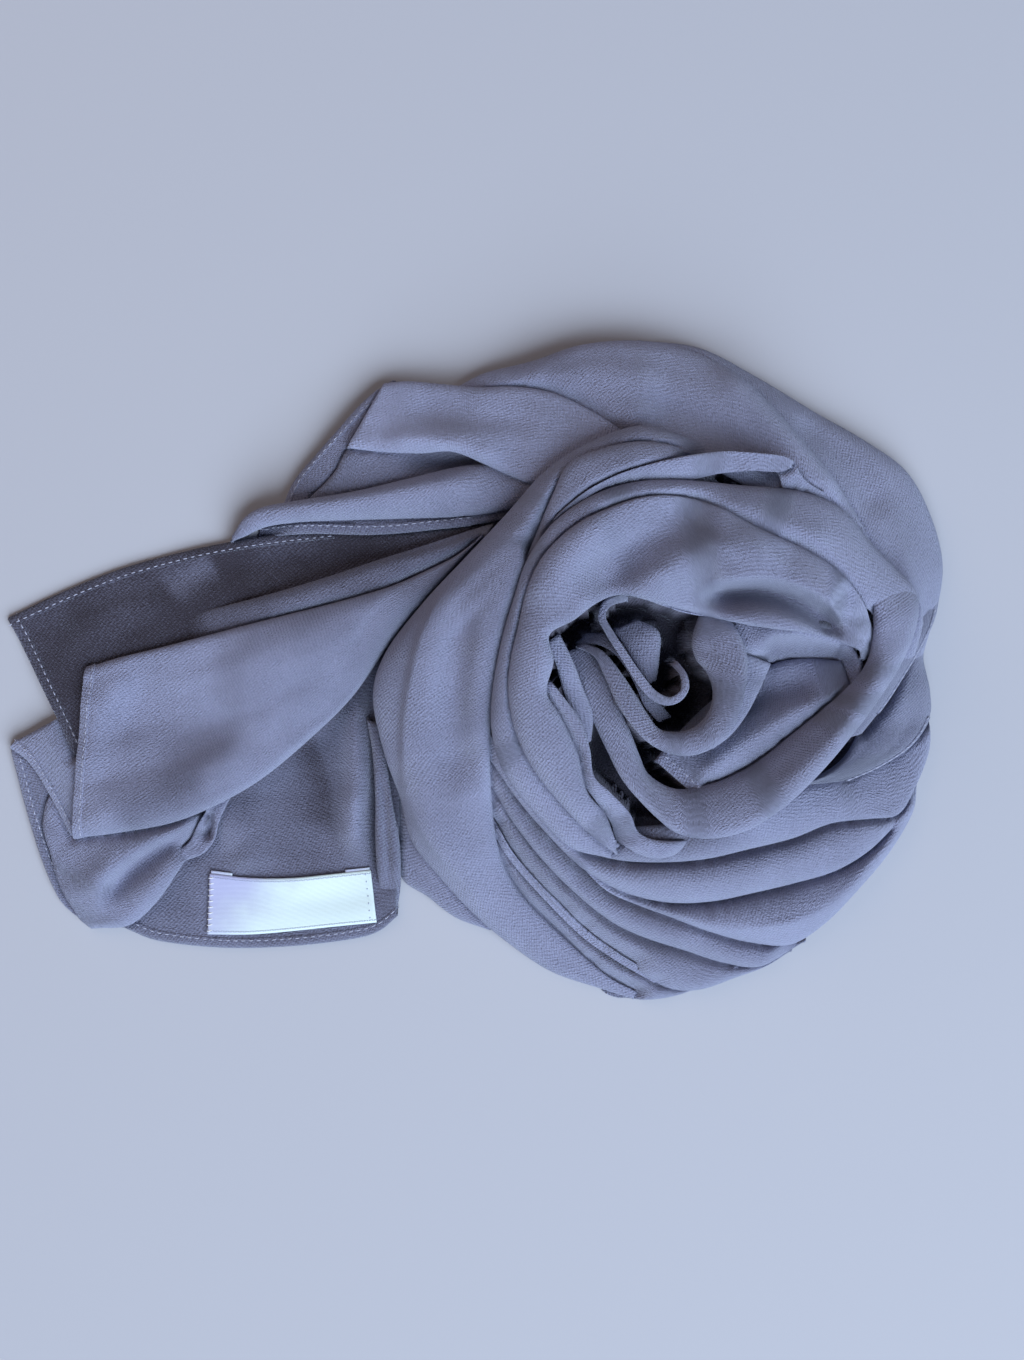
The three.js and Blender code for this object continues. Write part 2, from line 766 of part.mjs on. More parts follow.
// The label, as the plan positions of its lower and upper edges
const LABEL_COLUMNS = ["lowerX", "lowerY", "upperX", "upperY"];
const LABEL_ROWS = [
  [-97.5, -95.6, -96.6, -73.6],
  [-82, -95.6, -81.5, -75.2],
  [-67, -94.4, -67, -75.2],
  [-52, -92.8, -52.6, -73.8],
  [-36.4, -91.2, -38.6, -72.4],
];
const LABEL_LEVELS = [0.5 + SEAM_GAP, 0.5 + SEAM_GAP + LABEL_THICKNESS];

const named = (columns, row) => Object.fromEntries(columns.map((column, i) => [column, row[i]]));

// A plan position moved under the point of that height which is seen there
function placed(x, y, z) {
  const nearer = 1 - z / VIEW_HEIGHT;
  return new THREE.Vector2(
    VIEW_CENTRE.x + (x - VIEW_CENTRE.x) * nearer + PLAN_SHIFT.x,
    VIEW_CENTRE.y + (y - VIEW_CENTRE.y) * nearer + PLAN_SHIFT.y,
  );
}

// Rows of numbers as smooth Catmull-Rom curves through every column, read at count even steps
function smoothed(rows, columns, count) {
  const at = (i) => rows[Math.min(Math.max(i, 0), rows.length - 1)];
  return Array.from({ length: count }, (_, k) => {
    const t = (k / (count - 1)) * (rows.length - 1);
    const i = Math.min(Math.floor(t), rows.length - 2);
    const f = t - i;
    const values = columns.map((_, c) => {
      const [p0, p1, p2, p3] = [i - 1, i, i + 1, i + 2].map((n) => at(n)[c]);
      const bend = 2 * p0 - 5 * p1 + 4 * p2 - p3;
      const twist = 3 * p1 - p0 - 3 * p2 + p3;
      return p1 + 0.5 * f * (p2 - p0 + f * (bend + f * twist));
    });
    return named(columns, values);
  });
}

// The sections of a stretch: each has its two edges in true plan and the heights there
function sectionsOf({ rows, step }) {
  const middles = rows.map((row) => new THREE.Vector2((row[0] + row[3]) / 2, (row[1] + row[4]) / 2));
  const length = middles.slice(1).reduce((sum, point, i) => sum + point.distanceTo(middles[i]), 0);
  const count = Math.max(LEAST_SECTIONS, Math.round(length / step) + 1);
  return smoothed(rows, COLUMNS, count).map((row) => ({
    a: placed(row.ax, row.ay, row.az),
    b: placed(row.bx, row.by, row.bz),
    az: row.az,
    bz: row.bz,
    crown: row.crown,
  }));
}

const CUT_TOLERANCE = 0.08;
const WELD = 2e-3;
const LEAST = 0.2; // half the least width, and the least height, that a hollow keeps

// The outline of a section, grown by out: down to the table at both edges, with a turned fold at the top of each
function outlineOf(section, foldA, foldB, out) {
  const width = section.a.distanceTo(section.b) + 2 * out;
  const [az, bz] = [section.az + out, section.bz + out];
  const ra = Math.min(foldA + out, 0.45 * width, 0.6 * az);
  const rb = Math.min(foldB + out, 0.45 * width, 0.6 * bz);
  const footA = Math.min(0.7 * ra, width / 2 - LEAST);
  const footB = Math.max(width - 0.7 * rb, width / 2 + LEAST);
  const top = (share) => [
    ra + (width - ra - rb) * share,
    az + (bz - az) * share + section.crown * 4 * share * (1 - share),
  ];
  return [
    [footA, -out],
    [0, az - ra],
    top(0),
    top(0.5),
    top(1),
    [width, bz - rb],
    [footB, -out],
  ].map(([s, z]) => spot(section, s - out, z));
}

// The outline of the hollow inside a section, which leaves a wall of that thickness and is never under least wide
function hollowOf(section, foldA, foldB, wall, least) {
  const width = section.a.distanceTo(section.b);
  const corner = (fold) => Math.max(wall, (fold + 1.13 * wall) / 2);
  const [ca, cb] = [corner(Math.min(foldA, 0.45 * width)), corner(Math.min(foldB, 0.45 * width))];
  const [sa, sb] = [Math.min(ca, width / 2 - least), Math.max(width - cb, width / 2 + least)];
  const [za, zb] = [Math.max(section.az - ca, least), Math.max(section.bz - cb, least)];
  const middle = Math.max((section.az + section.bz) / 2 + section.crown - wall, least);
  const footA = Math.min(0.7 * foldA + wall, width / 2 - least);
  const footB = Math.max(width - 0.7 * foldB - wall, width / 2 + least);
  return [
    [footA, -1],
    [sa, za],
    [width / 2, middle],
    [sb, zb],
    [footB, -1],
  ].map(([s, z]) => spot(section, s, z));
}

// The point of a section's upright plane at distance s from edge a and height z
function spot(section, s, z) {
  const across = section.b.clone().sub(section.a).normalize();
  return new THREE.Vector3(section.a.x + across.x * s, section.a.y + across.y * s, z);
}

// The first and last outlines moved along the stretch by reach, outwards where reach is positive
function withEndsMoved(outlines, reach) {
  const centre = (outline) =>
    outline.reduce((sum, p) => sum.add(p), new THREE.Vector3()).divideScalar(outline.length).setZ(0);
  const moved = (outline, neighbour) => {
    const way = centre(outline).sub(centre(neighbour)).normalize().multiplyScalar(reach);
    return outline.map((p) => p.clone().add(way));
  };
  const last = outlines.length - 1;
  return outlines.map((outline, i) => {
    if (i === 0) return moved(outline, outlines[1]);
    if (i === last) return moved(outline, outlines[last - 1]);
    return outline;
  });
}

// A closed solid through outlines of equal point counts, capped by strips between the two sides of each end
function lofted(outlines) {
  const sides = outlines[0].length;
  const vertices = new Float32Array(outlines.flat().flatMap((p) => [p.x, p.y, p.z]));
  const faces = [];
  outlines.slice(1).forEach((_, i) => {
    for (let j = 0; j < sides; j++) {
      const [p, q] = [i * sides + j, i * sides + ((j + 1) % sides)];
      faces.push(p, q, q + sides, p, q + sides, p + sides);
    }
  });
  const cap = (start, turned) => {
    for (let j = 0; j < Math.floor(sides / 2); j++) {
      const [p, q, r, s] = [j, j + 1, sides - 2 - j, sides - 1 - j].map((n) => start + n);
      const pair = q === r ? [[p, q, s]] : [[p, q, r], [p, r, s]];
      pair.forEach(([u, v, w]) => faces.push(...(turned ? [u, w, v] : [u, v, w])));
      if (q >= r - 1) break;
    }
  };
  cap(0, true);
  cap((outlines.length - 1) * sides, false);
  return facingOut(new wasm.Mesh({ numProp: 3, vertProperties: vertices, triVerts: new Uint32Array(faces) }));
}

// A solid from a mesh whose faces may all point inwards
function facingOut(mesh) {
  const solid = new wasm.Manifold(mesh);
  if (solid.volume() > 0) return solid;
  for (let i = 0; i < mesh.triVerts.length; i += 3)
    [mesh.triVerts[i + 1], mesh.triVerts[i + 2]] = [mesh.triVerts[i + 2], mesh.triVerts[i + 1]];
  return new wasm.Manifold(mesh);
}

// The body of a cut solid that is left when its slivers and its smallest steps are cleared
function largest(solid) {
  const bodyOf = (one) => one.decompose().reduce((best, body) => (body.volume() > best.volume() ? body : best));
  return bodyOf(welded(bodyOf(solid).simplify(CUT_TOLERANCE)));
}

// A solid whose vertices closer than WELD are one
function welded(solid) {
  const { numVert, numProp, vertProperties, triVerts } = solid.getMesh();
  const geometry = new THREE.BufferGeometry();
  const positions = new Float32Array(numVert * 3);
  for (let i = 0; i < numVert; i++) positions.set(vertProperties.subarray(i * numProp, i * numProp + 3), i * 3);
  geometry.setAttribute("position", new THREE.BufferAttribute(positions, 3));
  geometry.setIndex(new THREE.BufferAttribute(triVerts, 1));
  const merged = mergeVertices(geometry, WELD);
  return new wasm.Manifold(
    new wasm.Mesh({
      numProp: 3,
      vertProperties: merged.attributes.position.array,
      triVerts: new Uint32Array(withoutFlatFaces(merged.index.array)),
    }),
  );
}

// A solid as a named mesh of the part
function meshOf(name, solid, finish) {
  const { numVert, numProp, vertProperties, triVerts } = solid.getMesh();
  const positions = new Float32Array(numVert * 3);
  for (let i = 0; i < numVert; i++) positions.set(vertProperties.subarray(i * numProp, i * numProp + 3), i * 3);
  const geometry = new THREE.BufferGeometry();
  geometry.setAttribute("position", new THREE.BufferAttribute(positions, 3));
  geometry.setIndex(new THREE.BufferAttribute(triVerts, 1));
  geometry.computeVertexNormals();
  const mesh = new THREE.Mesh(geometry, new THREE.MeshStandardMaterial(finish));
  mesh.name = name;
  return mesh;
}

// The mound under the eye, a low dome with a rounded rim, grown by out
function eyeMound(out) {
  const { x, y, radius, height, rounding } = EYE;
  const centre = placed(x, y, height);
  const profile = [
    [0, -out],
    [radius + out, -out],
    [radius + out, height - rounding],
    [radius - rounding + out, height + out],
    [0, height + out],
  ].map(([r, z]) => new THREE.Vector2(Math.max(r, 0), z));
  const geometry = new THREE.LatheGeometry(profile, 24);
  geometry.rotateX(Math.PI / 2);
  geometry.translate(centre.x, centre.y, 0);
  geometry.deleteAttribute("normal");
  geometry.deleteAttribute("uv");
  const merged = mergeVertices(geometry, 1e-4);
  const faces = new Uint32Array(withoutFlatFaces(merged.index.array));
  return facingOut(new wasm.Mesh({ numProp: 3, vertProperties: merged.attributes.position.array, triVerts: faces }));
}

// Faces whose three corners differ, since a lathe leaves flat ones on its axis
function withoutFlatFaces(index) {
  const kept = [];
  for (let i = 0; i < index.length; i += 3) {
    const [p, q, r] = [index[i], index[i + 1], index[i + 2]];
    if (p !== q && q !== r && r !== p) kept.push(p, q, r);
  }
  return kept;
}

// The height of a solid's upper side over a plan point
function heightOver(mesh, point) {
  const ray = new THREE.Raycaster(new THREE.Vector3(point.x, point.y, 1000), new THREE.Vector3(0, 0, -1));
  const [hit] = ray.intersectObject(mesh);
  return hit ? hit.point.z : 0;
}

// The label, laid on the panel under it and raised by the levels of its two faces
function labelOn(panel) {
  const outlines = LABEL_ROWS.map((row) => {
    const { lowerX, lowerY, upperX, upperY } = named(LABEL_COLUMNS, row);
    const ends = [new THREE.Vector2(lowerX, lowerY), new THREE.Vector2(upperX, upperY)];
    const across = [0, 0.5, 1].map((share) => {
      const plan = ends[0].clone().lerp(ends[1], share);
      const point = placed(plan.x, plan.y, 5);
      return { point, z: heightOver(panel, point) };
    });
    const level = (raise) => across.map(({ point, z }) => new THREE.Vector3(point.x, point.y, z + raise));
    return [...level(LABEL_LEVELS[0]), ...level(LABEL_LEVELS[1]).reverse()];
  });
  return lofted(outlines);
}

const stretches = STRETCHES.map((stretch) => {
  const { name, filled } = stretch;
  const [foldA, foldB] = stretch.folds;
  const sections = sectionsOf(stretch);
  const shape = (out) =>
    lofted(withEndsMoved(sections.map((section) => outlineOf(section, foldA, foldB, out)), out));
  const hollow = (wall, least) =>
    lofted(withEndsMoved(sections.map((section) => hollowOf(section, foldA, foldB, wall, least)), -wall));
  const narrow = sections.every(({ a, b }) => a.distanceTo(b) < NARROW);
  return {
    name,
    filled,
    whole: shape(0),
    cutter: shape(SEAM_GAP),
    hollow: narrow ? null : hollow(CLOTH_WALL, 2 * LEAST),
    fill: filled ? hollow(CLOTH_WALL + FILL_GAP, LEAST / 2) : null,
  };
});

const table = facingOut(
  (() => {
    const slab = mergeVertices(new THREE.BoxGeometry(600, 600, 100).translate(0, 0, -50).deleteAttribute("normal").deleteAttribute("uv"));
    return new wasm.Mesh({ numProp: 3, vertProperties: slab.attributes.position.array, triVerts: new Uint32Array(slab.index.array) });
  })(),
);

const filledOnes = stretches.filter((stretch) => stretch.filled);
const roomForCore = filledOnes.reduce((sum, stretch) => sum.add(stretch.hollow), eyeMound(0));
const core = filledOnes.reduce((sum, stretch) => sum.add(stretch.fill), eyeMound(-FILL_GAP)).subtract(table);

const scarf = new THREE.Group();
stretches.forEach((stretch, i) => {
  const over = stretches.slice(i + 1);
  const shell = stretch.hollow ? stretch.whole.subtract(stretch.hollow) : stretch.whole;
  const bare = shell.subtract(roomForCore);
  const wall = over.reduce((left, other) => left.subtract(other.cutter), bare);
  scarf.add(meshOf(stretch.name, largest(wall), CLOTH));
});
scarf.add(meshOf("hidden_layers", largest(core), CORE_CLOTH));
scarf.updateMatrixWorld(true);
scarf.add(meshOf("label", labelOn(scarf.getObjectByName("label_panel")), LABEL_SATIN));

export default scarf;
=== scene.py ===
"""A headscarf of dusty lavender crepe chiffon, wound on a table into a rose-like coil, its free end fanned.

Each stretch of cloth that shows is one surface on a grid, worked out from a short table of sections, and
the cloth that is hidden inside the coil is one more surface under them all. Sizes are in millimetres until
a mesh is made.
"""
import math

import bpy
import numpy as np
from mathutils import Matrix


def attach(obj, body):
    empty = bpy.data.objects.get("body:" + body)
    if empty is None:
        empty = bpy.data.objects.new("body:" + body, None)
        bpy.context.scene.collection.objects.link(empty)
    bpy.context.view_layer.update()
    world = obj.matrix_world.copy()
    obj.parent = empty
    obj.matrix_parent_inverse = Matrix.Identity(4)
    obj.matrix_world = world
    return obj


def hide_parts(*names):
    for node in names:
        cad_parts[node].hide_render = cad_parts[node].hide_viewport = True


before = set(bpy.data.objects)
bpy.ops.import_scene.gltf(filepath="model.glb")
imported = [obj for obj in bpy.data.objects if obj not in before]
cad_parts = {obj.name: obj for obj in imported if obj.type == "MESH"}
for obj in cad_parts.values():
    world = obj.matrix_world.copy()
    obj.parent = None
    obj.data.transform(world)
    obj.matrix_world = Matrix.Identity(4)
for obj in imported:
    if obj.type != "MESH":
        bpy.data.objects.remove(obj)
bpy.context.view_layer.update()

MM = 0.001

# The plan is drawn as it is seen from this height over this point, and shifted onto the part's own frame
VIEW_HEIGHT = 600.0
VIEW_CENTRE = np.array([12.4, -3.8])
PLAN_SHIFT = np.array([1.2, -0.2])
VIEW_LENGTH = 489.6  # of the table that the long side of the view takes in
SENSOR_WIDTH = 36.0

CLOTH_THICKNESS = 0.5

# How layers lie on each other
LAYER_GAP = 2.4  # that a layer keeps under the one that lies on it
ROUND_OFF = 2.4  # over which a layer that is pressed bends
PRESSED_FLAT = 0.35  # the height over the table that a pressed layer keeps
SUNK = 2.0  # that an end goes down into the cloth that it grows out of
VALLEY_RISE = 7.0  # of a layer that comes out from under another, over VALLEY_REACH
VALLEY_REACH = 11.0
VALLEY_SLOPE = 0.8  # with which it may rise beyond that
STEEPEST = 2.2  # slope of a layer that lies over a step

# The rolled edges of a stretch
FOLD_REACH = 1.5  # how much wider than high a rolled edge is
FOLD_SHARE = 0.22  # of the stretch's width that its height is at most
FOLD_DROP = 0.6  # of the cloth's height there that its height is at most
LOWEST_EDGE = 1.2

# The cloth that turns under at an edge
TUCK_DROP = 0.45  # of the edge's height that its quarter circle is at most
TUCK_REACH = 2.6  # that it runs in beyond the quarter circle
TUCK_SHARE = 0.42  # of the stretch's width that it runs in at most
TUCK_SHADE = 0.16  # painted shade: that each of its lines is darker than the one over it
SINK_IN = 0.4  # of its foot into the cloth under it
OVER_TABLE = 0.1  # that its foot keeps

# The three rows that close an end: each one's share of the drop, and how many cloth thicknesses it leans out
END_DROP = np.array([0.25, 0.6, 1.0])
END_LEAN = np.array([0.35, 0.45, 0.2])

# The grid of a stretch
STEP_ALONG = 1.5  # between two of its sections
STEP_ACROSS = 1.2  # between two points of a section
SECTIONS = (24, 260)  # at least and at most
POINTS_ACROSS = (8, 60)
FOLD_POINTS = 8
TUCK_POINTS = 4

# The unevenness of a stretch: each one's height, length along and across the cloth, and shift. A stretch
# that is FULL_WIDTH wide has it in full, and it comes in over SETTLE from both edges
UNEVEN = ((0.42, 46, 8.5, 0), (0.20, 21, 4.6, 9))
FULL_WIDTH = 20
SETTLE = 3.5

HEM_WIDTH = 4.2
HEM_THICKNESS = 0.45
HEM_TONE = 0.02  # lighter than its stretch
HEM_SUNK = 0.04  # of its borders into the cloth
SEAM_INSET = 3.25  # from the hem's border to its line of stitches
SEAM_DEPTH = 0.16
SEAM_UNEVEN = 0.10
STITCH_PITCH = 2.8
STITCH_LENGTH = 1.9
THREAD_THICKNESS = 0.42

# Stretches of cloth

# name, fold radius at edge a and at edge b, and sections: ax, ay, az, bx, by, bz, crown.
# a and b are the two edges of the stretch, z is how high the cloth lies there, and crown is how far its
# middle swells over that. The bottom layer comes first.
STRETCHES = [
    # Under the coil's right side and under the free end
    ("outer_right", (4, 3), [
        (58, 119.3, 7, 62, 104, 20, 1),
        (80, 116.5, 8, 78, 100, 24, 2),
        (100, 106.5, 8, 92, 90, 25, 2),
        (120, 94.5, 8, 108, 78, 26, 2),
        (140, 83, 8, 122, 64, 26, 2),
        (155, 72, 8, 132, 50, 26, 2),
        (163.5, 57, 8, 140, 38, 26, 2),
        (168.2, 40, 8, 146, 26, 24, 2),
        (167, 25, 8, 148, 12, 22, 1),
        (162, 8, 7, 148, -2, 18, 0),
    ]),
    ("under_layer", (1.6, 2), [
        (-29.5, -44, 4, -18, -36, 9, 0),
        (-29, -60, 4, -14, -48, 9, 0),
        (-27.5, -75, 4, -12, -58, 9, 0),
        (-18, -82, 4, -4, -68, 9, 0),
        (-8, -89.5, 4, 4, -76, 8, 0),
        (4, -94, 4, 10, -86, 6, 0),
    ]),
    # The free end, from the panel with the label to the hemmed front panel
    ("label_panel", (1.2, 1.5), [
        (-137, -92.5, 2.2, -100, -12, 5, 0),
        (-127, -93.2, 2.2, -96, -10, 5, 0),
        (-115, -97.5, 2.2, -86, -8, 5, 0),
        (-92, -100, 2.2, -74, -6, 6, 0),
        (-68, -99.5, 2.2, -60, 2, 6, 0),
        (-46, -97, 2.2, -47, 10, 6, 0),
        (-36, -94.2, 2.4, -38, 16, 6, 0),
        (-29.5, -89, 2.6, -26, 20, 6, 0),
    ]),
    ("left_hem_corner", (1.2, 1.5), [
        (-168.4, -27.6, 2.6, -150, -24, 4, 0),
        (-166, -37, 2.4, -146, -34, 4, 0),
        (-162, -52, 2.2, -142, -48, 4, 0),
        (-156.5, -69.5, 2.2, -138, -62, 4, 0),
        (-150, -83.5, 2.2, -130, -74, 4, 0),
        (-142, -91.2, 2.2, -124, -84, 4, 0),
    ]),
    ("label_side_fold", (2.5, 2.5), [
        (-33, -32, 9, -38, -30, 9, 1),
        (-31, -46, 9, -37, -46, 9, 1),
        (-28.2, -62, 8, -37, -62, 8, 1),
        (-27.8, -76, 6.5, -36, -76, 6, 1),
        (-29, -86, 4, -34, -86.5, 4, 0.5),
    ]),
    ("lower_lobe", (3, 2), [
        (-139, -93.5, 4.5, -144, -89.5, 3.4, 0),
        (-126, -92.5, 6, -150.5, -79, 3.4, 1.5),
        (-115.5, -83.5, 7.5, -154.5, -66, 3.6, 2.5),
        (-108.5, -73.5, 8.5, -157, -54, 4, 2),
        (-103, -65, 9, -150, -42, 6, 1),
        (-96, -53.5, 9, -118, -36, 8, 0.5),
    ]),
    ("corner_flap", (1.2, 2), [
        (-168.2, -28, 4, -166, -25.5, 4, 0),
        (-161, -34, 5.5, -156, -20, 6, 0.5),
        (-153.5, -46, 6, -147, -15.5, 8, 0.5),
        (-146, -60.5, 6.5, -136, -16, 9, 0.5),
    ]),
    ("little_loop", (1.6, 1.6), [
        (-88, -44, 8.5, -94, -44, 9, 0),
        (-93, -54, 9, -100, -54, 9, -1),
        (-94.8, -61, 8, -102, -58, 8, -2),
        (-99, -66.4, 7, -104, -62, 7, -1),
        (-105.5, -69, 5.5, -108, -65.5, 6, 0),
    ]),
    ("corner_panel", (1.4, 2), [
        (-169, 18.4, 1.8, -145, -31, 6, -0.5),
        (-150, 27.5, 1.8, -128, -10, 8, -1),
        (-130, 35.5, 2, -112, 2, 9, -1),
        (-110, 41.2, 2.5, -94, 8, 10, -1),
        (-90, 45.6, 3.5, -76, 13, 12, -1.5),
        (-70, 48.7, 5, -58, 18, 13, -2),
        (-45, 51.5, 8, -38, 26, 14, -2),
        (-20, 53.5, 11, -16, 37, 16, -2),
        (10, 60, 14, 12, 48, 18, 0),
    ]),
    ("panel_roll", (3, 2.5), [
        (-131, 11, 8, -131, 2, 8, 0),
        (-115, 17, 9.5, -114, 4, 10, 0.8),
        (-98, 21.6, 11.5, -96, 9, 12, 1.5),
        (-78, 26.6, 13.5, -76, 14, 14, 2),
        (-58, 32.4, 15.5, -56, 19, 16, 2),
        (-38, 39, 17, -36, 25, 17, 2),
        (-18, 45.4, 18.5, -18, 33, 19, 1.5),
        (6, 53.5, 20, 0, 42, 21, 1),
    ]),
    ("front_panel", (2.5, 2.5), [
        (-141.5, 0.5, 8, -146, -61, 8, 1),
        (-130, 4.2, 10, -129, -58.8, 9, 1.5),
        (-113, 8.4, 12, -111, -55.5, 10, 1),
        (-92, 13.8, 14, -95, -49.3, 11.5, 2.5),
        (-70, 19.4, 16, -78, -39.5, 13, 4),
        (-50, 24.4, 17.5, -60, -24.5, 14, 3.5),
        (-33, 29.3, 18.5, -45, -9.5, 15, 2.5),
        (-18, 36, 20, -32, 9, 16, 2),
        (-8, 41, 21, -20, 24, 18, 1),
        (2, 48.5, 22, -5, 41, 21, 0),
    ]),
    # The flaps behind it, and the sweep round the back of the coil
    ("back_hem", (1.4, 1.4), [
        (-78, 56, 8, -80, 48, 8, 0),
        (-60, 58, 10, -60, 49.2, 9.5, 0),
        (-38, 60, 12, -38, 48.8, 11.5, 0),
        (-18, 62, 14, -18, 50.4, 13.5, 0),
        (4, 65, 16, 6, 53.5, 15.5, 0),
        (20, 72, 16, 24, 60, 15.5, 0),
    ]),
    ("flap_under", (2.5, 1.6), [
        (-70.5, 58, 5, -60, 58, 8, 0),
        (-66, 68, 6, -53, 64, 9, 0),
        (-59, 76.5, 7, -47, 75, 10, 0),
        (-51, 85.5, 8, -42, 84, 10, 0),
        (-42.5, 95, 8, -36, 92, 10, 0),
        (-34, 102.3, 7.5, -31, 98, 9, 0),
        (-30.5, 104.4, 6, -27, 100, 7, 0),
    ]),
    ("flap_lower", (2.2, 2.2), [
        (-60, 62.5, 9, -56, 58, 9, 0),
        (-52, 71, 11.5, -46, 58, 12, 0.5),
        (-45, 82, 13, -34, 60, 13, 0),
        (-32, 86, 14, -20, 64, 13, -1),
        (-14, 84, 15, -6, 68, 12, -2),
        (6, 80, 16, 10, 66, 14, -2),
        (22, 80, 16, 26, 68, 14, 0),
    ]),
    ("folded_strip", (2.5, 2.5), [
        (-88.2, 48.5, 6, -88.6, 46, 6, 0),
        (-84, 55, 9, -84, 48, 8, 0.5),
        (-77, 58.8, 11, -76, 51.5, 10, 1.5),
        (-63, 61.2, 13, -63, 53.2, 12, 2),
        (-44, 64.4, 15, -44, 54, 14, 2.5),
        (-25, 69, 16, -25, 54.6, 16, 3),
        (-6, 73.5, 17, -6, 55.4, 18, 3),
        (10, 75, 19, 12, 58, 20, 1),
        (26, 80, 19, 28, 64, 20, 0),
    ]),
    ("top_sweep", (3.5, 3), [
        (-9, 101.5, 6, 4, 92, 12, 0),
        (3, 107.5, 9, 16, 92, 18, 1),
        (20, 111.6, 11, 30, 86, 22, 2),
        (38, 117.6, 12, 42, 78, 26, 3),
        (60, 118.9, 13, 62, 74, 29, 4),
        (80, 114.2, 15, 78, 76, 31, 4),
        (96, 104.4, 18, 90, 70, 33, 4),
        (110, 90.5, 21, 102, 64, 34, 3),
        (124, 74.5, 24, 113, 58, 35, 2),
        (135, 59.5, 27, 124, 50, 35, 1),
        (143, 45, 29, 132, 40, 34, 0.5),
    ]),
    ("flap_top", (2.4, 2.2), [
        (-33.5, 103.5, 9, -47, 80, 13.5, 0),
        (-25, 104.2, 10.5, -34, 78.5, 15.5, 0.5),
        (-12, 103.1, 12, -21, 78, 18, 1),
        (0, 102, 14, -9, 78.4, 20, 1.5),
        (13, 102.3, 16, 3, 73.8, 21, 2),
        (26, 100.3, 18, 12, 69.8, 22, 2),
        (38, 95.2, 20.5, 20, 67, 24, 1),
        (50, 88, 25, 30, 68, 27, 0),
    ]),
    # The pleats of the lower swirl, from the outermost in
    ("swirl_end", (2.5, 2.5), [
        (5, -63, 19, 7, -54, 21, 0),
        (9.5, -75, 17, 15, -68, 19, 1),
        (16, -87, 14, 24, -81, 16, 1.5),
        (27, -98.5, 11, 35, -92, 14, 2),
        (38, -109.5, 8.5, 47, -101, 12, 2),
        (47, -117.5, 6, 57, -107, 10, 2),
        (59, -119.4, 5, 67, -111, 8, 1),
        (72, -117.8, 4, 76, -113, 5, 0),
    ]),
    ("swirl_fourth", (2.6, 2.5), [
        (5, -52.5, 22, 7, -44, 24, 0),
        (12, -64.5, 20.5, 18, -57, 22, 1),
        (21, -77, 18, 28, -70, 20, 1.5),
        (32, -89.5, 15, 39, -82, 17, 2),
        (44, -99.5, 12, 51, -91, 15, 2),
        (56, -107.5, 9.5, 63, -97, 13, 2),
        (68, -114.8, 7, 76, -101, 11, 2),
        (80, -115.8, 6, 86, -103, 10, 2),
        (94, -111, 5, 97, -102, 8, 1),
        (105, -106.8, 4, 105, -101, 5, 0),
    ]),
    ("swirl_pin", (1.2, 1.2), [
        (12, -69.5, 18, 14.5, -68.5, 18, 0),
        (24, -83.2, 15.5, 26.4, -81.8, 16, 0.3),
        (37, -96.2, 12.5, 39, -94.4, 13.5, 0.3),
        (50, -105.2, 10, 51.6, -103, 11, 0.3),
        (63.5, -113, 7, 65, -111, 8, 0),
    ]),
    ("swirl_third", (2.6, 2.5), [
        (5, -42.5, 25.5, 7, -35, 27, 0),
        (13, -55.5, 24.5, 18, -47.5, 26, 1),
        (24, -69.5, 22, 30, -61.5, 24, 1.5),
        (36, -81.5, 19, 42, -73, 22, 2),
        (48, -91, 16, 54, -80, 19, 2),
        (60, -96.8, 13.5, 65, -85, 17, 2),
        (74, -101.3, 11, 78, -89, 15, 2),
        (88, -105.8, 9, 91, -93, 13, 2),
        (101, -107.6, 7, 103, -96, 11, 1.5),
        (111, -102.8, 5, 112, -97, 7, 0),
    ]),
    ("swirl_second", (3, 3), [
        (46, -79.5, 18, 49, -73, 21, 0),
        (57, -84.8, 17, 58, -76, 20, 1),
        (70, -89.6, 15.5, 70, -78, 19, 2),
        (84, -94.8, 13.5, 83, -77, 19, 3),
        (98, -98.6, 11, 97, -74, 18, 4),
        (113, -99.5, 9, 110, -70, 18, 4.5),
        (126, -91.5, 8, 121, -66, 17, 4.5),
        (138, -79, 8, 132, -61, 16, 4),
        (149, -66, 8, 142, -54, 14, 3),
        (157, -52, 8, 150, -46, 12, 2),
        (160.5, -39, 8, 154, -36, 10, 1),
    ]),
    ("swirl_first", (3, 3), [
        (5, -33.5, 28, 8, -27, 30, 0),
        (14, -46.5, 27, 19, -39.5, 29, 1),
        (26, -60.5, 25, 31, -51.5, 28, 1.5),
        (38, -72, 23, 43, -61, 27, 2),
        (52, -80.2, 20, 55, -64, 26, 3),
        (68, -84.2, 18, 68, -65, 23, 4.5),
        (84, -84, 17, 83, -64, 22, 5),
        (100, -80.8, 16.5, 98, -61, 21, 5),
        (115, -77.2, 15.5, 113, -57, 19, 4.5),
        (129, -73, 14.5, 126, -52, 17, 4),
        (141, -66, 13.5, 138, -50, 20, 2),
        (150, -57, 12, 147, -48, 16, 1),
        (157, -47.5, 10, 152, -43, 12, 0),
    ]),
    ("swirl_inner", (2.6, 3), [
        (38, -65.5, 24, 42, -58, 26, 0),
        (50, -68.8, 24, 54, -57, 27, 1),
        (65, -69.8, 24, 67, -56, 28, 1),
        (82, -68.6, 24, 80, -54, 29, 1),
        (98, -65, 23, 94, -50, 29, 1.5),
        (114, -61, 22, 108, -44, 26, 2),
        (128, -55.6, 20, 120, -39, 21, 2),
        (142, -54, 17, 132, -35, 16, 2),
        (152, -52.4, 14, 141, -32, 13, 1.5),
        (158, -43, 11, 149, -30, 10, 1),
        (163, -30, 9, 154, -24, 9, 1),
        (163.4, -19.5, 9.5, 157, -17, 12, 0),
    ]),
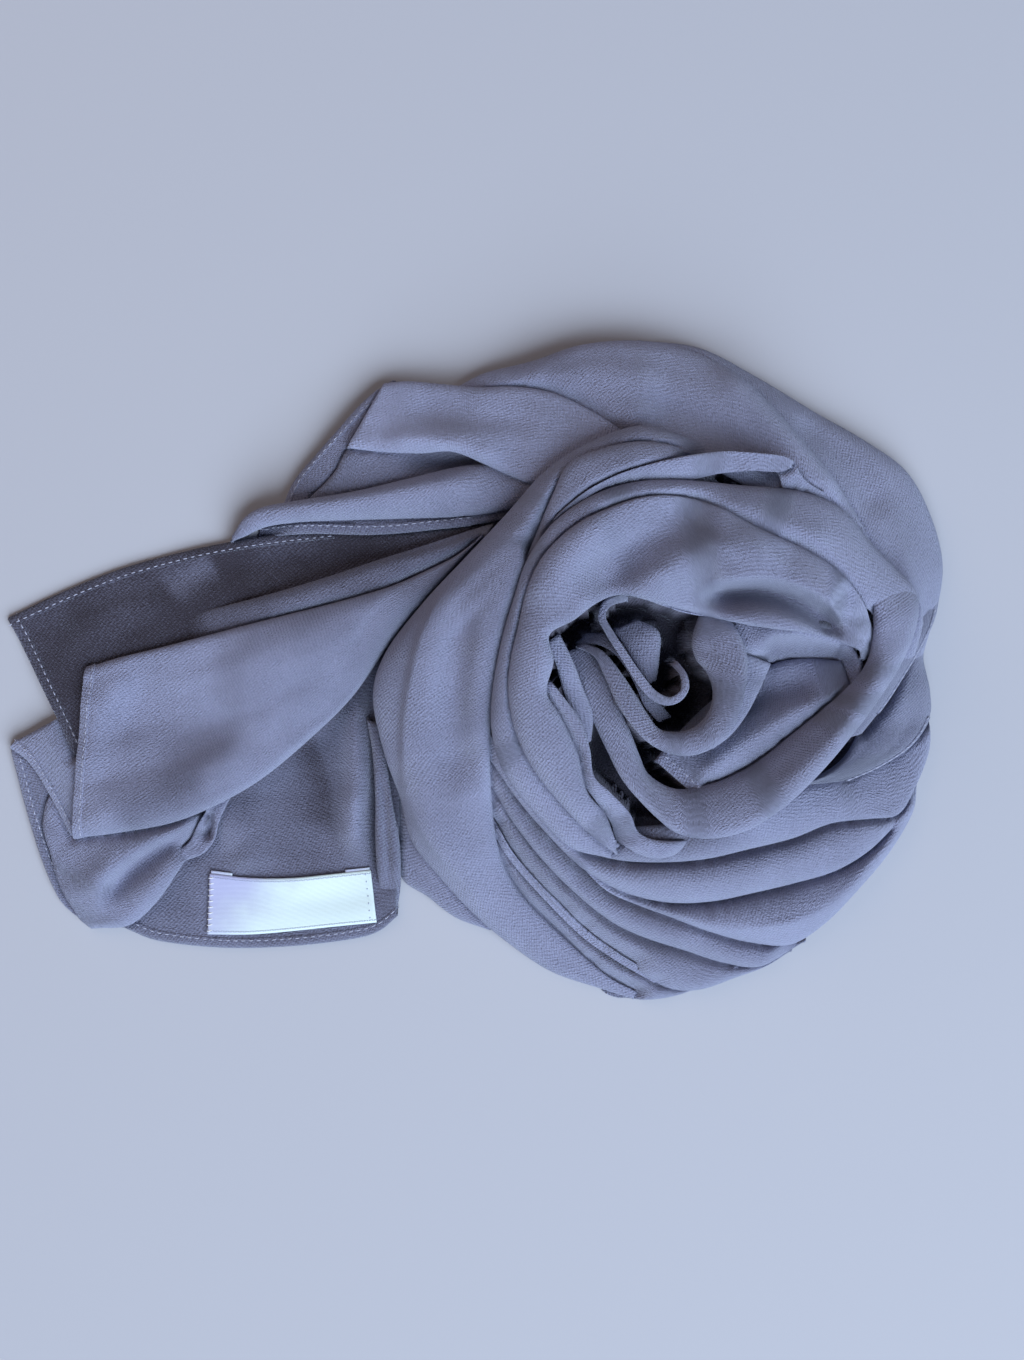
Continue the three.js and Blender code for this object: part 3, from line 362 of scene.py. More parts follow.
    # The folds, bands and pleats of the coil
    ("right_fold_low", (3, 2.5), [
        (163.5, 16, 8, 148, 8, 18, 1),
        (161.8, 4, 9, 144, -6, 20, 1),
        (163.6, -8, 9, 141, -16, 21, 1.5),
        (163.4, -17, 9, 137, -24, 21, 1.5),
        (157, -27, 14, 132, -32, 22, 1.5),
        (146, -34.5, 18, 124, -38, 23, 1),
        (134, -40, 21, 114, -42, 24, 0),
    ]),
    ("right_fold_high", (2.5, 2.5), [
        (168, 33, 10, 152, 24, 20, 0),
        (166, 21, 11, 150, 12, 22, 0.5),
        (160.5, 9, 13, 145, 1, 24, 0.5),
        (154.5, -1, 15, 140, -10, 25, 0.5),
        (147.5, -12, 17, 132, -20, 26, 0.5),
        (139, -23, 19, 122, -28, 26, 0),
    ]),
    ("broad_band", (3.5, 3), [
        (44, -115, 3.5, 46, -110, 5, 0),
        (26, -109, 5, 30, -96, 8, 0),
        (9, -97.5, 7, 17, -83, 12, 1),
        (-3, -87, 9, 10, -72, 15, 2),
        (-14, -75, 11, 6.5, -60, 20, 3),
        (-24, -62, 13, 5, -46, 25, 4),
        (-28, -47, 15, 4.5, -32, 30, 4),
        (-34, -30, 17, 4.8, -18, 33, 4),
        (-38, -10, 19, 6, -5, 35, 4),
        (-33.5, 6, 21, 9.5, 10, 37, 4),
        (-20, 24, 23, 13.8, 25, 38, 4),
        (-5, 40, 26, 19, 40, 39, 3.5),
        (10, 56, 28, 26.5, 52.5, 40, 3),
        (24, 71.5, 30, 38, 62.5, 41, 2.5),
        (40, 82, 32, 50, 69, 41, 2),
        (58, 88.3, 33, 62, 74, 41, 1.5),
        (72, 85.2, 33, 75, 76, 40, 1),
        (92, 78.6, 31, 89, 71, 33, 0),
    ]),
    ("pleat_upper", (2, 2), [
        (21.5, 50, 36, 28, 46, 39.5, 0),
        (27, 63, 38, 33.5, 56, 42, 0.5),
        (33, 74.4, 38, 39, 64, 43, 0.5),
        (45, 79.8, 39, 50, 69, 44, 1),
        (58, 82.4, 39.5, 60, 73, 44, 1),
        (70, 81, 39, 70, 74, 43, 0.5),
        (82, 76.8, 36, 80, 74, 39, 0),
    ]),
    ("pleat_tip", (1.8, 1.8), [
        (109, 77.4, 36, 104, 74, 36, 0),
        (114, 75.2, 38, 108, 71, 37, 0),
        (117, 70, 38, 110, 67, 38, 0),
        (122, 66, 37, 114, 62, 39, 0),
        (131, 61.6, 34, 122, 56, 38, 0),
    ]),
    ("pleat_crest", (2, 1.8), [
        (20, 42.5, 40, 25, 37.5, 43, 0),
        (27.5, 54, 43, 31.5, 48.5, 45, 0.3),
        (38, 63.6, 45, 41, 57.5, 47, 0.5),
        (50, 70.2, 46, 52, 64, 48, 0.5),
        (62, 74.2, 46, 63, 67.5, 48, 0.5),
        (75, 77.2, 45, 76, 69, 47, 0.5),
        (88, 78.9, 44, 87, 71, 45, 0.5),
        (100, 78.3, 43, 99, 72, 43.5, 0.5),
        (110, 77.2, 41.5, 109, 71.5, 41.5, 0.3),
        (114, 75.4, 40, 113, 72.8, 40, 0),
    ]),
    ("inner_band", (2.6, 2.6), [
        (47, -68, 25, 51, -63, 27, 0),
        (33, -64, 29, 39, -55, 31, 1),
        (20, -51, 32, 27, -42, 35, 1.5),
        (9.5, -37, 34, 18, -29, 38, 1.5),
        (5, -22, 35, 14, -17, 40, 1.5),
        (5.4, -7, 36, 13, -5, 41, 1.5),
        (8.5, 10, 38, 16, 8, 42, 1.5),
        (12.8, 25, 39, 19, 21, 43, 1.5),
        (18, 40, 41, 24, 35, 44, 1),
        (27, 52.6, 42, 33, 47, 45, 1),
        (39, 61.6, 43, 44, 54, 46, 1),
        (52, 66.8, 43, 54, 58, 46, 1),
        (66, 68.6, 42, 66, 59, 46, 1),
        (80, 68.2, 41, 78, 57, 46, 1.5),
        (95, 66.7, 39, 90, 50, 45, 2.5),
        (110, 65.6, 37, 102, 44, 44, 3.5),
        (123, 62.6, 35, 114, 39, 43, 4),
        (133, 57, 33, 124, 33, 41, 4),
        (142, 46, 31, 133, 27, 39, 3.5),
        (151, 36.5, 29, 139, 23, 37, 2.5),
        (158, 29, 28, 143, 20, 35, 1),
    ]),
    # Its petals and rolls
    ("petal_tuck", (2.2, 2.2), [
        (93, 5, 33, 92, 20, 32, 0),
        (103, 2, 36, 103, 18, 34, 0.5),
        (114, -1, 37.5, 114, 17, 34, 1),
        (124, -4.6, 37.5, 125, 15, 33, 1),
        (131, -8.8, 36.5, 133, 11, 32, 1),
        (136.6, -12, 34, 139, 3, 31, 0.5),
    ]),
    ("petal_lip", (2.5, 2.2), [
        (44, 36, 36, 42, 27, 34, 0),
        (56, 40, 42, 52, 28, 38, 0),
        (72, 38, 42, 68, 22.6, 39, 0.5),
        (90, 35, 40, 84, 19, 39, 0.5),
        (106, 31, 38, 100, 15.6, 38.5, 0),
        (120, 25, 36, 116, 13.7, 38, -0.5),
        (131, 17, 34, 129, 11, 37, -1),
        (139, 10, 35, 137, 7.4, 36, 0),
    ]),
    ("left_sliver", (1.8, 1.8), [
        (25, 9.6, 40, 29.5, 13, 38, 0),
        (28.5, 1, 39, 34.5, 3, 38, 0.5),
        (31, -8, 37, 38, -6.4, 36, 0.5),
        (35, -17, 35, 41.6, -16, 34, 0.5),
        (39, -27, 32, 41, -25.5, 32, 0),
    ]),
    ("left_roll", (2, 2), [
        (23.5, -5, 44, 26, -4, 45, 0),
        (27, -13, 43, 33, -12.4, 44, 0.5),
        (32, -22, 42, 38, -20, 43, 0.8),
        (35.6, -31, 41, 40.6, -29, 42, 0.8),
        (37.6, -40, 40, 42, -38.4, 41, 0.8),
        (43, -48, 38, 48, -44.4, 39, 0.8),
        (48, -55, 36, 55, -52, 37, 0.8),
        (51, -62, 33, 58, -58.6, 34, 0.8),
        (60, -67.4, 30, 64, -61.4, 32, 0.8),
        (68, -68, 29, 73, -61.8, 30, 0.5),
        (77, -65, 28, 81, -61.2, 28, 0),
    ]),
    ("petal_hemmed", (2.2, 1.6), [
        (81.5, -48.4, 33, 64, -32.6, 31, 0),
        (90, -44.2, 37, 75, -20, 26, 1),
        (100, -39.8, 39, 86, -10, 23, 2),
        (110, -34.6, 39.5, 98, -2, 22, 2),
        (120, -26.8, 39, 110, 3, 22, 2),
        (129, -20.6, 37.5, 121, 4, 22, 1),
        (136.8, -13.6, 34, 131, 3, 25, 0),
    ]),
    ("petal_main", (3, 3), [
        (50, -66.8, 27, 49.5, -61, 29, 0),
        (40, -59, 33, 46, -52, 35, 1),
        (30, -48.6, 37, 39.5, -44, 40, 1.5),
        (20, -36, 40, 36, -30, 43, 2),
        (13.5, -22, 42, 30, -17, 46, 2),
        (11, -8, 43, 25, -8, 47, 2),
        (12, 4, 44, 27.5, 3, 48, 2),
        (14.5, 15, 44, 26, 12.5, 48, 1.5),
        (17.5, 28, 45, 35, 18, 48, 1.5),
        (23, 40, 46, 43, 24, 47, 2),
        (32.5, 50, 47, 51, 27, 45, 2),
        (45, 57.4, 48, 61, 25, 42, 1.5),
        (60, 62.6, 49, 71, 22.5, 40, 1.5),
        (75, 63, 49, 81, 20, 39, 1),
        (88, 58.6, 48, 92, 17.6, 45, 0.5),
        (102, 50.8, 47, 105, 15, 47, 0.5),
        (118, 43.6, 45, 117, 13.6, 47, 0.5),
        (131, 35, 42, 127, 12, 45.5, 0.5),
        (140, 23, 39, 134, 9.5, 42, 0.5),
        (144, 11, 36, 137.5, 7, 37, 0.5),
        (140, 3.4, 33, 138, 4.6, 35, 0),
    ]),
    ("petal_outer", (3, 2.6), [
        (151, 37, 29, 140, 34, 36, 0),
        (158.8, 28, 30, 143, 27, 37, 1),
        (159, 17, 31, 143, 13, 36, 2),
        (154, 3.6, 33, 140, 2, 34, 2.5),
        (146, -9, 35, 133, -7, 33, 3),
        (137, -21.4, 37, 124, -15, 33, 3),
        (126, -35, 39, 113, -24, 33, 2.5),
        (113, -48, 41, 103, -32, 33, 2),
        (99, -57.6, 42, 93, -38, 34, 2),
        (85, -61.2, 42, 82, -42, 35, 2),
        (73, -59.6, 41, 71, -43, 36, 1.5),
        (64, -53, 39.5, 62, -38, 36, 1),
        (53, -41, 38, 58.5, -31, 35, 1),
        (46.5, -29, 36, 55, -22, 34, 1),
        (41, -17, 34, 50.5, -12, 33, 1),
        (36, -5, 32, 46, -1, 31, 0.5),
        (31, 6, 28, 40, 9, 28, 0),
    ]),
    # Its eye
    ("ring_panel", (1.6, 1.6), [
        (36, 9, 28, 39, 13, 26, 0),
        (43, 9, 31, 47, 13, 28, 0),
        (50, 5, 32, 54, 8, 29, 0),
        (56, -4, 32, 60, -1, 29, 0),
        (60, -13, 32, 64, -10, 29, 0),
        (65, -19, 32, 70, -17, 28, 0),
    ]),
    ("ring_back", (2, 2), [
        (106, 2, 29, 95, 6, 33, 0),
        (101.5, -8, 32, 94, -7, 36, 0),
        (97, -16.5, 34, 90, -15, 37, 0),
        (91.5, -23.6, 35, 86, -20, 37, 0),
        (85, -28.6, 34, 82, -24, 36, 0),
    ]),
    ("centre_panel", (1.6, 1.6), [
        (49, 14, 26, 58, 18, 24, 0),
        (53.5, 8, 29, 65.5, 13.6, 27, 0.5),
        (58, 0.5, 30, 65.6, 4, 28, 0.5),
        (62, -5, 29, 64.5, -3.6, 27, 0),
    ]),
    ("ring_petal", (2.4, 2.2), [
        (36, 7.8, 32, 38, 9.6, 32, 0),
        (42, 4.6, 37, 45, 6.8, 37, 0),
        (46, -3, 40, 51.4, -0.6, 40, 0.5),
        (50, -12, 42, 57, -9, 41.5, 1),
        (55, -19.6, 43, 61, -15.6, 42, 1),
        (61, -26, 43.5, 65, -21, 42, 1.2),
        (68, -30, 44, 69.5, -22.4, 42.5, 1.2),
        (76, -31.2, 44, 75.5, -22, 42.5, 1.2),
        (84, -29, 44, 80.5, -19, 42, 1.2),
        (91, -23, 43.5, 84, -14, 41.5, 1.2),
        (95.4, -13, 43, 84.8, -7.4, 40, 1.5),
        (97.4, -3, 42, 82.6, -1, 38, 2),
        (97.2, 6, 41, 78.6, 4, 36, 2),
        (94, 14, 39, 77.4, 11, 35, 1.5),
        (90, 20, 36, 80, 20, 34, 0),
    ]),
    ("centre_loop", (1.2, 1.2), [
        (54, 27.6, 32, 54, 24.6, 32, 0),
        (46, 25.4, 36, 48, 22.8, 36, 0),
        (43.4, 19, 38, 46.2, 19, 38, 0),
        (46, 13, 39, 48.8, 14, 39, 0),
        (52, 3.6, 40, 54.8, 4.8, 40, 0),
        (57, -4.4, 40.5, 60, -2.6, 40.5, 0),
        (62, -10.4, 40.5, 64, -7.4, 40.5, 0),
        (67.6, -13, 40, 68.4, -9.8, 40, 0),
        (73, -11.6, 39.5, 71.6, -9, 39.5, 0),
        (76.2, -7, 38.5, 73.4, -6.4, 38.5, 0),
        (75.4, -1.6, 36, 72.8, -2, 36, 0),
        (72, 3, 32, 70, 1.4, 32, 0),
    ]),
]

# Ridges and troughs of a stretch, each by the plan line of its crest: its height (a trough's is negative),
# its half widths to the left and to the right of the line, and the line's points
FORMS = {
    "label_panel": [
        (6.5, 3.5, 6, [(-44, -2), (-43, -20), (-42, -38), (-44, -54), (-41, -72)]),
        (-2.4, 9, 7, [(-62, -16), (-60, -34), (-57, -52), (-60, -72)]),
        (3, 7, 7, [(-98, -46), (-86, -58), (-80, -74)]),
        (-3, 2.5, 2.5, [(-37, -20), (-36, -45), (-35.5, -78)]),
    ],
    "label_side_fold": [
        (-2, 1.6, 1.6, [(-34.5, -36), (-33, -56), (-31.5, -80)]),
    ],
    "front_panel": [
        (5, 9, 9, [(-150, -54), (-129, -50), (-109, -45), (-93, -36), (-78, -25)]),
        (-5.5, 15, 15, [(-134, -10), (-116, -17), (-98, -20), (-84, -12)]),
        (4.5, 12, 12, [(-96, 4), (-74, 6), (-54, 12), (-36, 22), (-22, 34)]),
        (2, 5, 4, [(-138, -4), (-139, -24), (-141, -48)]),
    ],
    "corner_panel": [
        (-1.6, 8, 8, [(-100, 30), (-80, 36), (-55, 40), (-30, 45)]),
        (1.5, 7, 7, [(-150, 12), (-132, 22), (-114, 30)]),
    ],
    "flap_top": [
        (3.2, 6, 3.5, [(-36, 82), (-24, 83), (-12, 82), (0, 79), (12, 74)]),
        (-2, 6, 6, [(-28, 94), (-10, 92), (8, 90), (24, 86)]),
    ],
    "flap_lower": [
        (-3, 5, 5, [(-30, 76), (-14, 75), (4, 72), (18, 70)]),
    ],
    "folded_strip": [
        (2.2, 4, 5, [(-78, 56), (-56, 59), (-32, 63), (-8, 67), (10, 69)]),
    ],
    "top_sweep": [
        (4.5, 5, 8, [(82, 112), (94, 103), (106, 91), (117, 78), (126, 68), (134, 56)]),
        (-4, 7, 7, [(56, 92), (74, 90), (90, 82), (102, 72), (112, 64)]),
        (2.5, 8, 8, [(10, 103), (30, 105), (50, 106), (70, 103)]),
    ],
    "outer_right": [
        (-2.5, 6, 6, [(112, 92), (126, 80), (138, 66), (146, 52)]),
    ],
    "broad_band": [
        (3, 10, 1.8, [
            (2, 44), (-8, 34), (-19, 14), (-24, -8), (-26, -28), (-24, -48), (-12, -68), (6, -86),
        ]),
        (-4.5, 7, 7, [(0, 26), (-6, 10), (-8, -10), (-7, -30), (-3, -46)]),
        (1.5, 4, 4, [(5, 22), (0, 6), (-2, -14), (-1, -32)]),
    ],
    "inner_band": [
        (2, 5, 5, [(84, 60), (100, 56), (114, 50), (128, 42)]),
    ],
    "petal_main": [
        (3, 9, 9, [(18, 22), (27, 36), (38, 47), (50, 56)]),
        (-6, 9, 8.5, [(40, 22), (49, 36), (60, 47), (76, 57), (90, 56)]),
        (4.5, 7, 8, [(50, 20), (63, 32), (79, 41), (96, 45), (114, 40)]),
        (5, 11, 2.2, [(76, 28), (88, 31.5), (102, 32.5), (116, 29), (128, 21.5), (138, 12), (146, 0)]),
        (-13, 2, 6.5, [(78, 25), (90, 28.6), (104, 29.3), (117, 25.8), (129, 18), (139, 8)]),
    ],
    "petal_lip": [
        (3, 4, 4, [(54, 30), (72, 25), (92, 22), (110, 18), (128, 13)]),
    ],
    "petal_outer": [
        (3, 6, 5, [(150, 14), (142, -4), (130, -22), (116, -36), (100, -50)]),
    ],
    "petal_hemmed": [
        (3.5, 5, 6, [(76, -41), (90, -34), (106, -27), (122, -19)]),
        (-5, 6, 5, [(84, -18), (98, -11), (110, -7), (124, -6)]),
    ],
    "petal_tuck": [
        (2, 4, 2.5, [(96, 6), (108, 3), (120, -1), (132, -8)]),
        (-6, 2.4, 2.4, [(118, 3), (125, 0), (130, -5), (131, -9)]),
    ],
    "lower_lobe": [
        (4.5, 2.4, 8, [
            (-94, -51), (-105, -56.5), (-118, -62), (-130, -71.5), (-135.5, -80), (-136.5, -90),
        ]),
        (-4, 4.5, 3.5, [(-104, -59), (-116, -66), (-128, -75), (-134, -85)]),
        (2, 6, 6, [(-104, -66), (-113, -75), (-124, -86)]),
    ],
    "little_loop": [
        (-4, 1.8, 1.8, [(-98, -50), (-97.5, -56), (-98, -62)]),
    ],
    "swirl_second": [
        (2.5, 6, 5, [(66, -86), (88, -90), (110, -88), (130, -78), (146, -64)]),
    ],
}

# How light the cloth is painted, from 0 to 1. Where it lies in one thin layer, flat, it is dusky; beyond
# that, the value of each stretch is painted light and painted shade for how the light falls on it. Each line
# adds its
# amount within its half widths: the dark lines are painted shade, as along the upper edges of the pleats and
# under the petal's crease, and the light ones are painted light, as along ridges
TONES_AND_PAINTED_SHADE = {
    "corner_panel": (-0.06, [
        (0.3, 6, 6, [(-112, 26), (-104, 33), (-94, 40)]),
    ]),
    "panel_roll": (0.18, [
        (-0.22, 12, 12, [(-146, 3), (-128, 8), (-110, 13), (-94, 18)]),
    ]),
    "front_panel": (0.5, [
        (-0.2, 6, 7, [(-132, -56), (-118, -50), (-106, -42), (-94, -38)]),
    ]),
    "petal_tuck": (0.5, [
        (-0.16, 6, 6, [(100, 8), (112, 7), (126, -2)]),
    ]),
    "petal_hemmed": (0.5, [
        (-0.16, 7, 7, [(96, -40), (110, -35), (122, -27)]),
    ]),
    "label_panel": (0.22, [
        (0.3, 5, 4, [(-49, -14), (-46, -40), (-46, -68)]),
        (-0.2, 3, 10, [(-64, -20), (-56, -40), (-53, -62)]),
        (0.15, 7, 7, [(-96, -50), (-84, -64)]),
    ]),
    "left_hem_corner": (0.3, []),
    "label_side_fold": (0.3, []),
    "back_hem": (0.22, []),
    "flap_lower": (0.32, []),
    "flap_under": (0.38, []),
    "flap_top": (0.7, []),
    "top_sweep": (0.58, []),
    "outer_right": (0.54, [
        (0.12, 8, 8, [(128, 64), (138, 52), (146, 38)]),
    ]),
    "ring_petal": (0.42, []),
    "right_fold_low": (0.38, []),
    "right_fold_high": (0.4, []),
    "swirl_inner": (0.5, [
        (-0.32, 6, 6, [(20, -40), (36, -57), (52, -62), (70, -62), (86, -58), (100, -52)]),
    ]),
    "swirl_first": (0.5, [
        (-0.28, 6, 6, [
            (38, -65.5), (50, -68.8), (65, -69.8), (82, -68.6), (98, -65), (114, -61), (128, -55.6),
            (142, -54),
        ]),
    ]),
    "swirl_second": (0.55, [
        (-0.3, 6, 6, [(52, -80.2), (68, -84.2), (84, -84), (100, -80.8), (112, -78), (122, -75.2)]),
    ]),
    "swirl_third": (0.44, [
        (-0.25, 5, 5, [
            (5, -33.5), (14, -46.5), (26, -60.5), (38, -72), (52, -80.2), (57, -84.8), (70, -89.6),
            (84, -94.8),
        ]),
    ]),
    "swirl_fourth": (0.46, [
        (-0.25, 5, 5, [
            (5, -42.5), (13, -55.5), (24, -69.5), (36, -81.5), (48, -91), (60, -96.8), (74, -101.3),
            (88, -105.8),
        ]),
    ]),
    "swirl_end": (0.5, [
        (-0.25, 5, 5, [
            (5, -52.5), (12, -64.5), (21, -77), (32, -89.5), (44, -99.5), (56, -107.5), (68, -114.8),
        ]),
    ]),
    "petal_main": (0.5, [
        (-0.3, 2.5, 8, [(80, 28), (90, 29), (104, 29.3), (117, 25.8), (129, 18), (139, 8)]),
    ]),
}

# Sections that carry a stretch on under its neighbours, before its first and after its last
LONGER = {
    "flap_top": ([], [(60, 80, 28, 42, 64, 30, 0)]),
    "swirl_third": ([(-3, -34, 24, 0, -27, 26, 0)], [(118, -98.5, 3, 118.5, -95.5, 4, 0)]),
    "swirl_fourth": ([(-3, -44, 21, 0, -36, 23, 0)], [(113, -101.8, 2.5, 113, -98.5, 3.5, 0)]),
    "swirl_end": ([(-4, -54, 18, -1, -46, 20, 0)], [(84, -113.2, 2.5, 85, -110, 3.5, 0)]),
    "broad_band": ([(56, -118.6, 1.6, 57, -116, 2, 0)], []),
    "outer_right": ([], [(158, -8, 6, 146, -14, 14, 0)]),
    "top_sweep": ([], [(150, 34, 28, 140, 30, 32, 0)]),
    "swirl_pin": ([(-2, -48, 19, 0.5, -47, 19, 0), (5, -58.5, 20.5, 7.5, -57.5, 20.5, 0)], []),
    "swirl_first": ([(-3, -25, 26, 0, -19, 28, 0)], []),
    "swirl_inner": ([], [(163.4, -8, 9, 157, -6, 12, 0)]),
    "inner_band": ([], [(161, 18, 26, 146, 12, 31, 0), (158, 5, 24, 146, 2, 28, 0)]),
    "pleat_upper": ([(16, 36, 33, 22, 34, 37, 0)], []),
    "swirl_second": ([(36, -69.5, 20, 39, -66, 21, 0)], []),
    "pleat_crest": ([(13.5, 30, 37, 18, 27.5, 40, 0)], []),
    "label_side_fold": ([(-36, -20, 9, -40, -18, 9, 0)], []),
}

# The shares of a stretch's length over which its start and its finish come down onto the cloth under them
EASED_ENDS = {
    "panel_roll": (0.55, 0),
    "label_side_fold": (0, 0.25),
    "lower_lobe": (0, 0.15),
    "right_fold_low": (0.35, 0),
    "right_fold_high": (0.35, 0),
    "petal_outer": (0.1, 0),
    "swirl_first": (0, 0.08),
    "swirl_second": (0, 0.08),
    "swirl_third": (0, 0.1),
    "swirl_fourth": (0, 0.1),
    "swirl_end": (0, 0.18),
    "swirl_pin": (0, 0.15),
    "pleat_tip": (0.1, 0.4),
    "left_roll": (0, 0.12),
    "broad_band": (0, 0.08),
    "back_hem": (0.15, 0),
    "little_loop": (0.1, 0.1),
    "pleat_upper": (0.15, 0.15),
    "pleat_crest": (0.25, 0),
}

# Layers that keep another gap under the ones on them
CLOSE_TO = {
    "petal_lip": 1.5,
}

# The share of its length, from its start, with which a layer presses those that were drawn before it
PRESSING = {"petal_outer": 0.6}

# The eye of the coil: pressed only by each other and by the two petals that lie over the eye's rim
EYE = ("centre_loop", "ring_petal", "centre_panel", "ring_back", "ring_panel")
EYE_RIM = ("petal_main", "petal_lip")

# Shapes

LATTICE = 64  # cells of the soft noise before it repeats
LINE_POINTS = 20  # of a ridge or trough
LINE_EASE = 0.22  # the share of a ridge or trough over which it eases off at each end


def placed(plan, height):
    """Plan positions moved under the point of that height which is seen there: towards VIEW_CENTRE by
    height / VIEW_HEIGHT of their distance to it, and then by PLAN_SHIFT."""
    nearer = 1 - height[..., None] / VIEW_HEIGHT
    return VIEW_CENTRE + (plan - VIEW_CENTRE) * nearer + PLAN_SHIFT


def through(rows, count):
    """Catmull-Rom curves through every column of rows, read at count even steps of the distance along."""
    rows = np.asarray(rows, float)
    padded = np.vstack([2 * rows[0] - rows[1], rows, 2 * rows[-1] - rows[-2]])

    def read(t):
        i = np.minimum(t.astype(int), len(rows) - 2)
        f = (t - i)[:, None]
        p0, p1, p2, p3 = (padded[i + k] for k in range(4))
        cubic = 3 * p1 - p0 - 3 * p2 + p3
        square = 2 * p0 - 5 * p1 + 4 * p2 - p3
        return p1 + 0.5 * f * (p2 - p0 + f * (square + f * cubic))

    fine = np.linspace(0, len(rows) - 1, 40 * len(rows))
    middle = read(fine)
    middle = (middle[:, :2] + middle[:, 3:5]) / 2
    run = np.concatenate([[0], np.cumsum(np.linalg.norm(np.diff(middle, axis=0), axis=1))])
    return read(np.interp(np.linspace(0, run[-1], count), run, fine)), run[-1]


def smoothly(t):
    """From 0 to 1 with no slope at either end."""
    t = np.clip(t, 0, 1)
    return t * t * (3 - 2 * t)


def relief(plan, lines):
    """The sum over the lines of amount × exp(−(distance / half width)²), eased off towards both line ends."""
    total = np.zeros(plan.shape[:2])
    for amount, left, right, points in lines:
        line = through([(x, y, 0, x, y, 0, 0) for x, y in points], LINE_POINTS)[0][:, :2]
        nearest = np.full(total.shape, np.inf)
        place, side = np.zeros(total.shape), np.zeros(total.shape)
        for i, (p, q) in enumerate(zip(line[:-1], line[1:])):
            way = q - p
            t = np.clip(((plan - p) @ way) / (way @ way), 0, 1)
            off = plan - p - t[..., None] * way
            square = (off**2).sum(axis=2)
            closer = square < nearest
            nearest = np.where(closer, square, nearest)
            place = np.where(closer, (i + t) / (len(line) - 1), place)
            side = np.where(closer, way[0] * off[..., 1] - way[1] * off[..., 0], side)
        half = np.where(side > 0, left, right)
        ends = smoothly(place / LINE_EASE) * smoothly((1 - place) / LINE_EASE)
        total += amount * np.exp(-nearest / half**2) * ends
    return total


def soft_noise(x, y, seed):
    """Smooth uneven heights from -1 to 1: random values on a lattice of unit cells, blended smoothly."""
    lattice = np.random.default_rng(seed).uniform(-1, 1, (LATTICE, LATTICE))
    i, j = np.floor(x).astype(int), np.floor(y).astype(int)
    f, g = x - i, y - j
    f, g = smoothly(f), smoothly(g)
    corner = lambda a, b: lattice[(i + a) % LATTICE, (j + b) % LATTICE]
    low = corner(0, 0) * (1 - f) + corner(1, 0) * f
    high = corner(0, 1) * (1 - f) + corner(1, 1) * f
    return low * (1 - g) + high * g


def rounding(distance, radius):
    """How far a rolled edge has dropped at a distance in from its border: a quarter of an ellipse."""
    inside = np.clip(1 - distance / (FOLD_REACH * radius), 0, 1)
    return radius * (1 - np.sqrt(np.clip(1 - inside**2, 0, 1)))


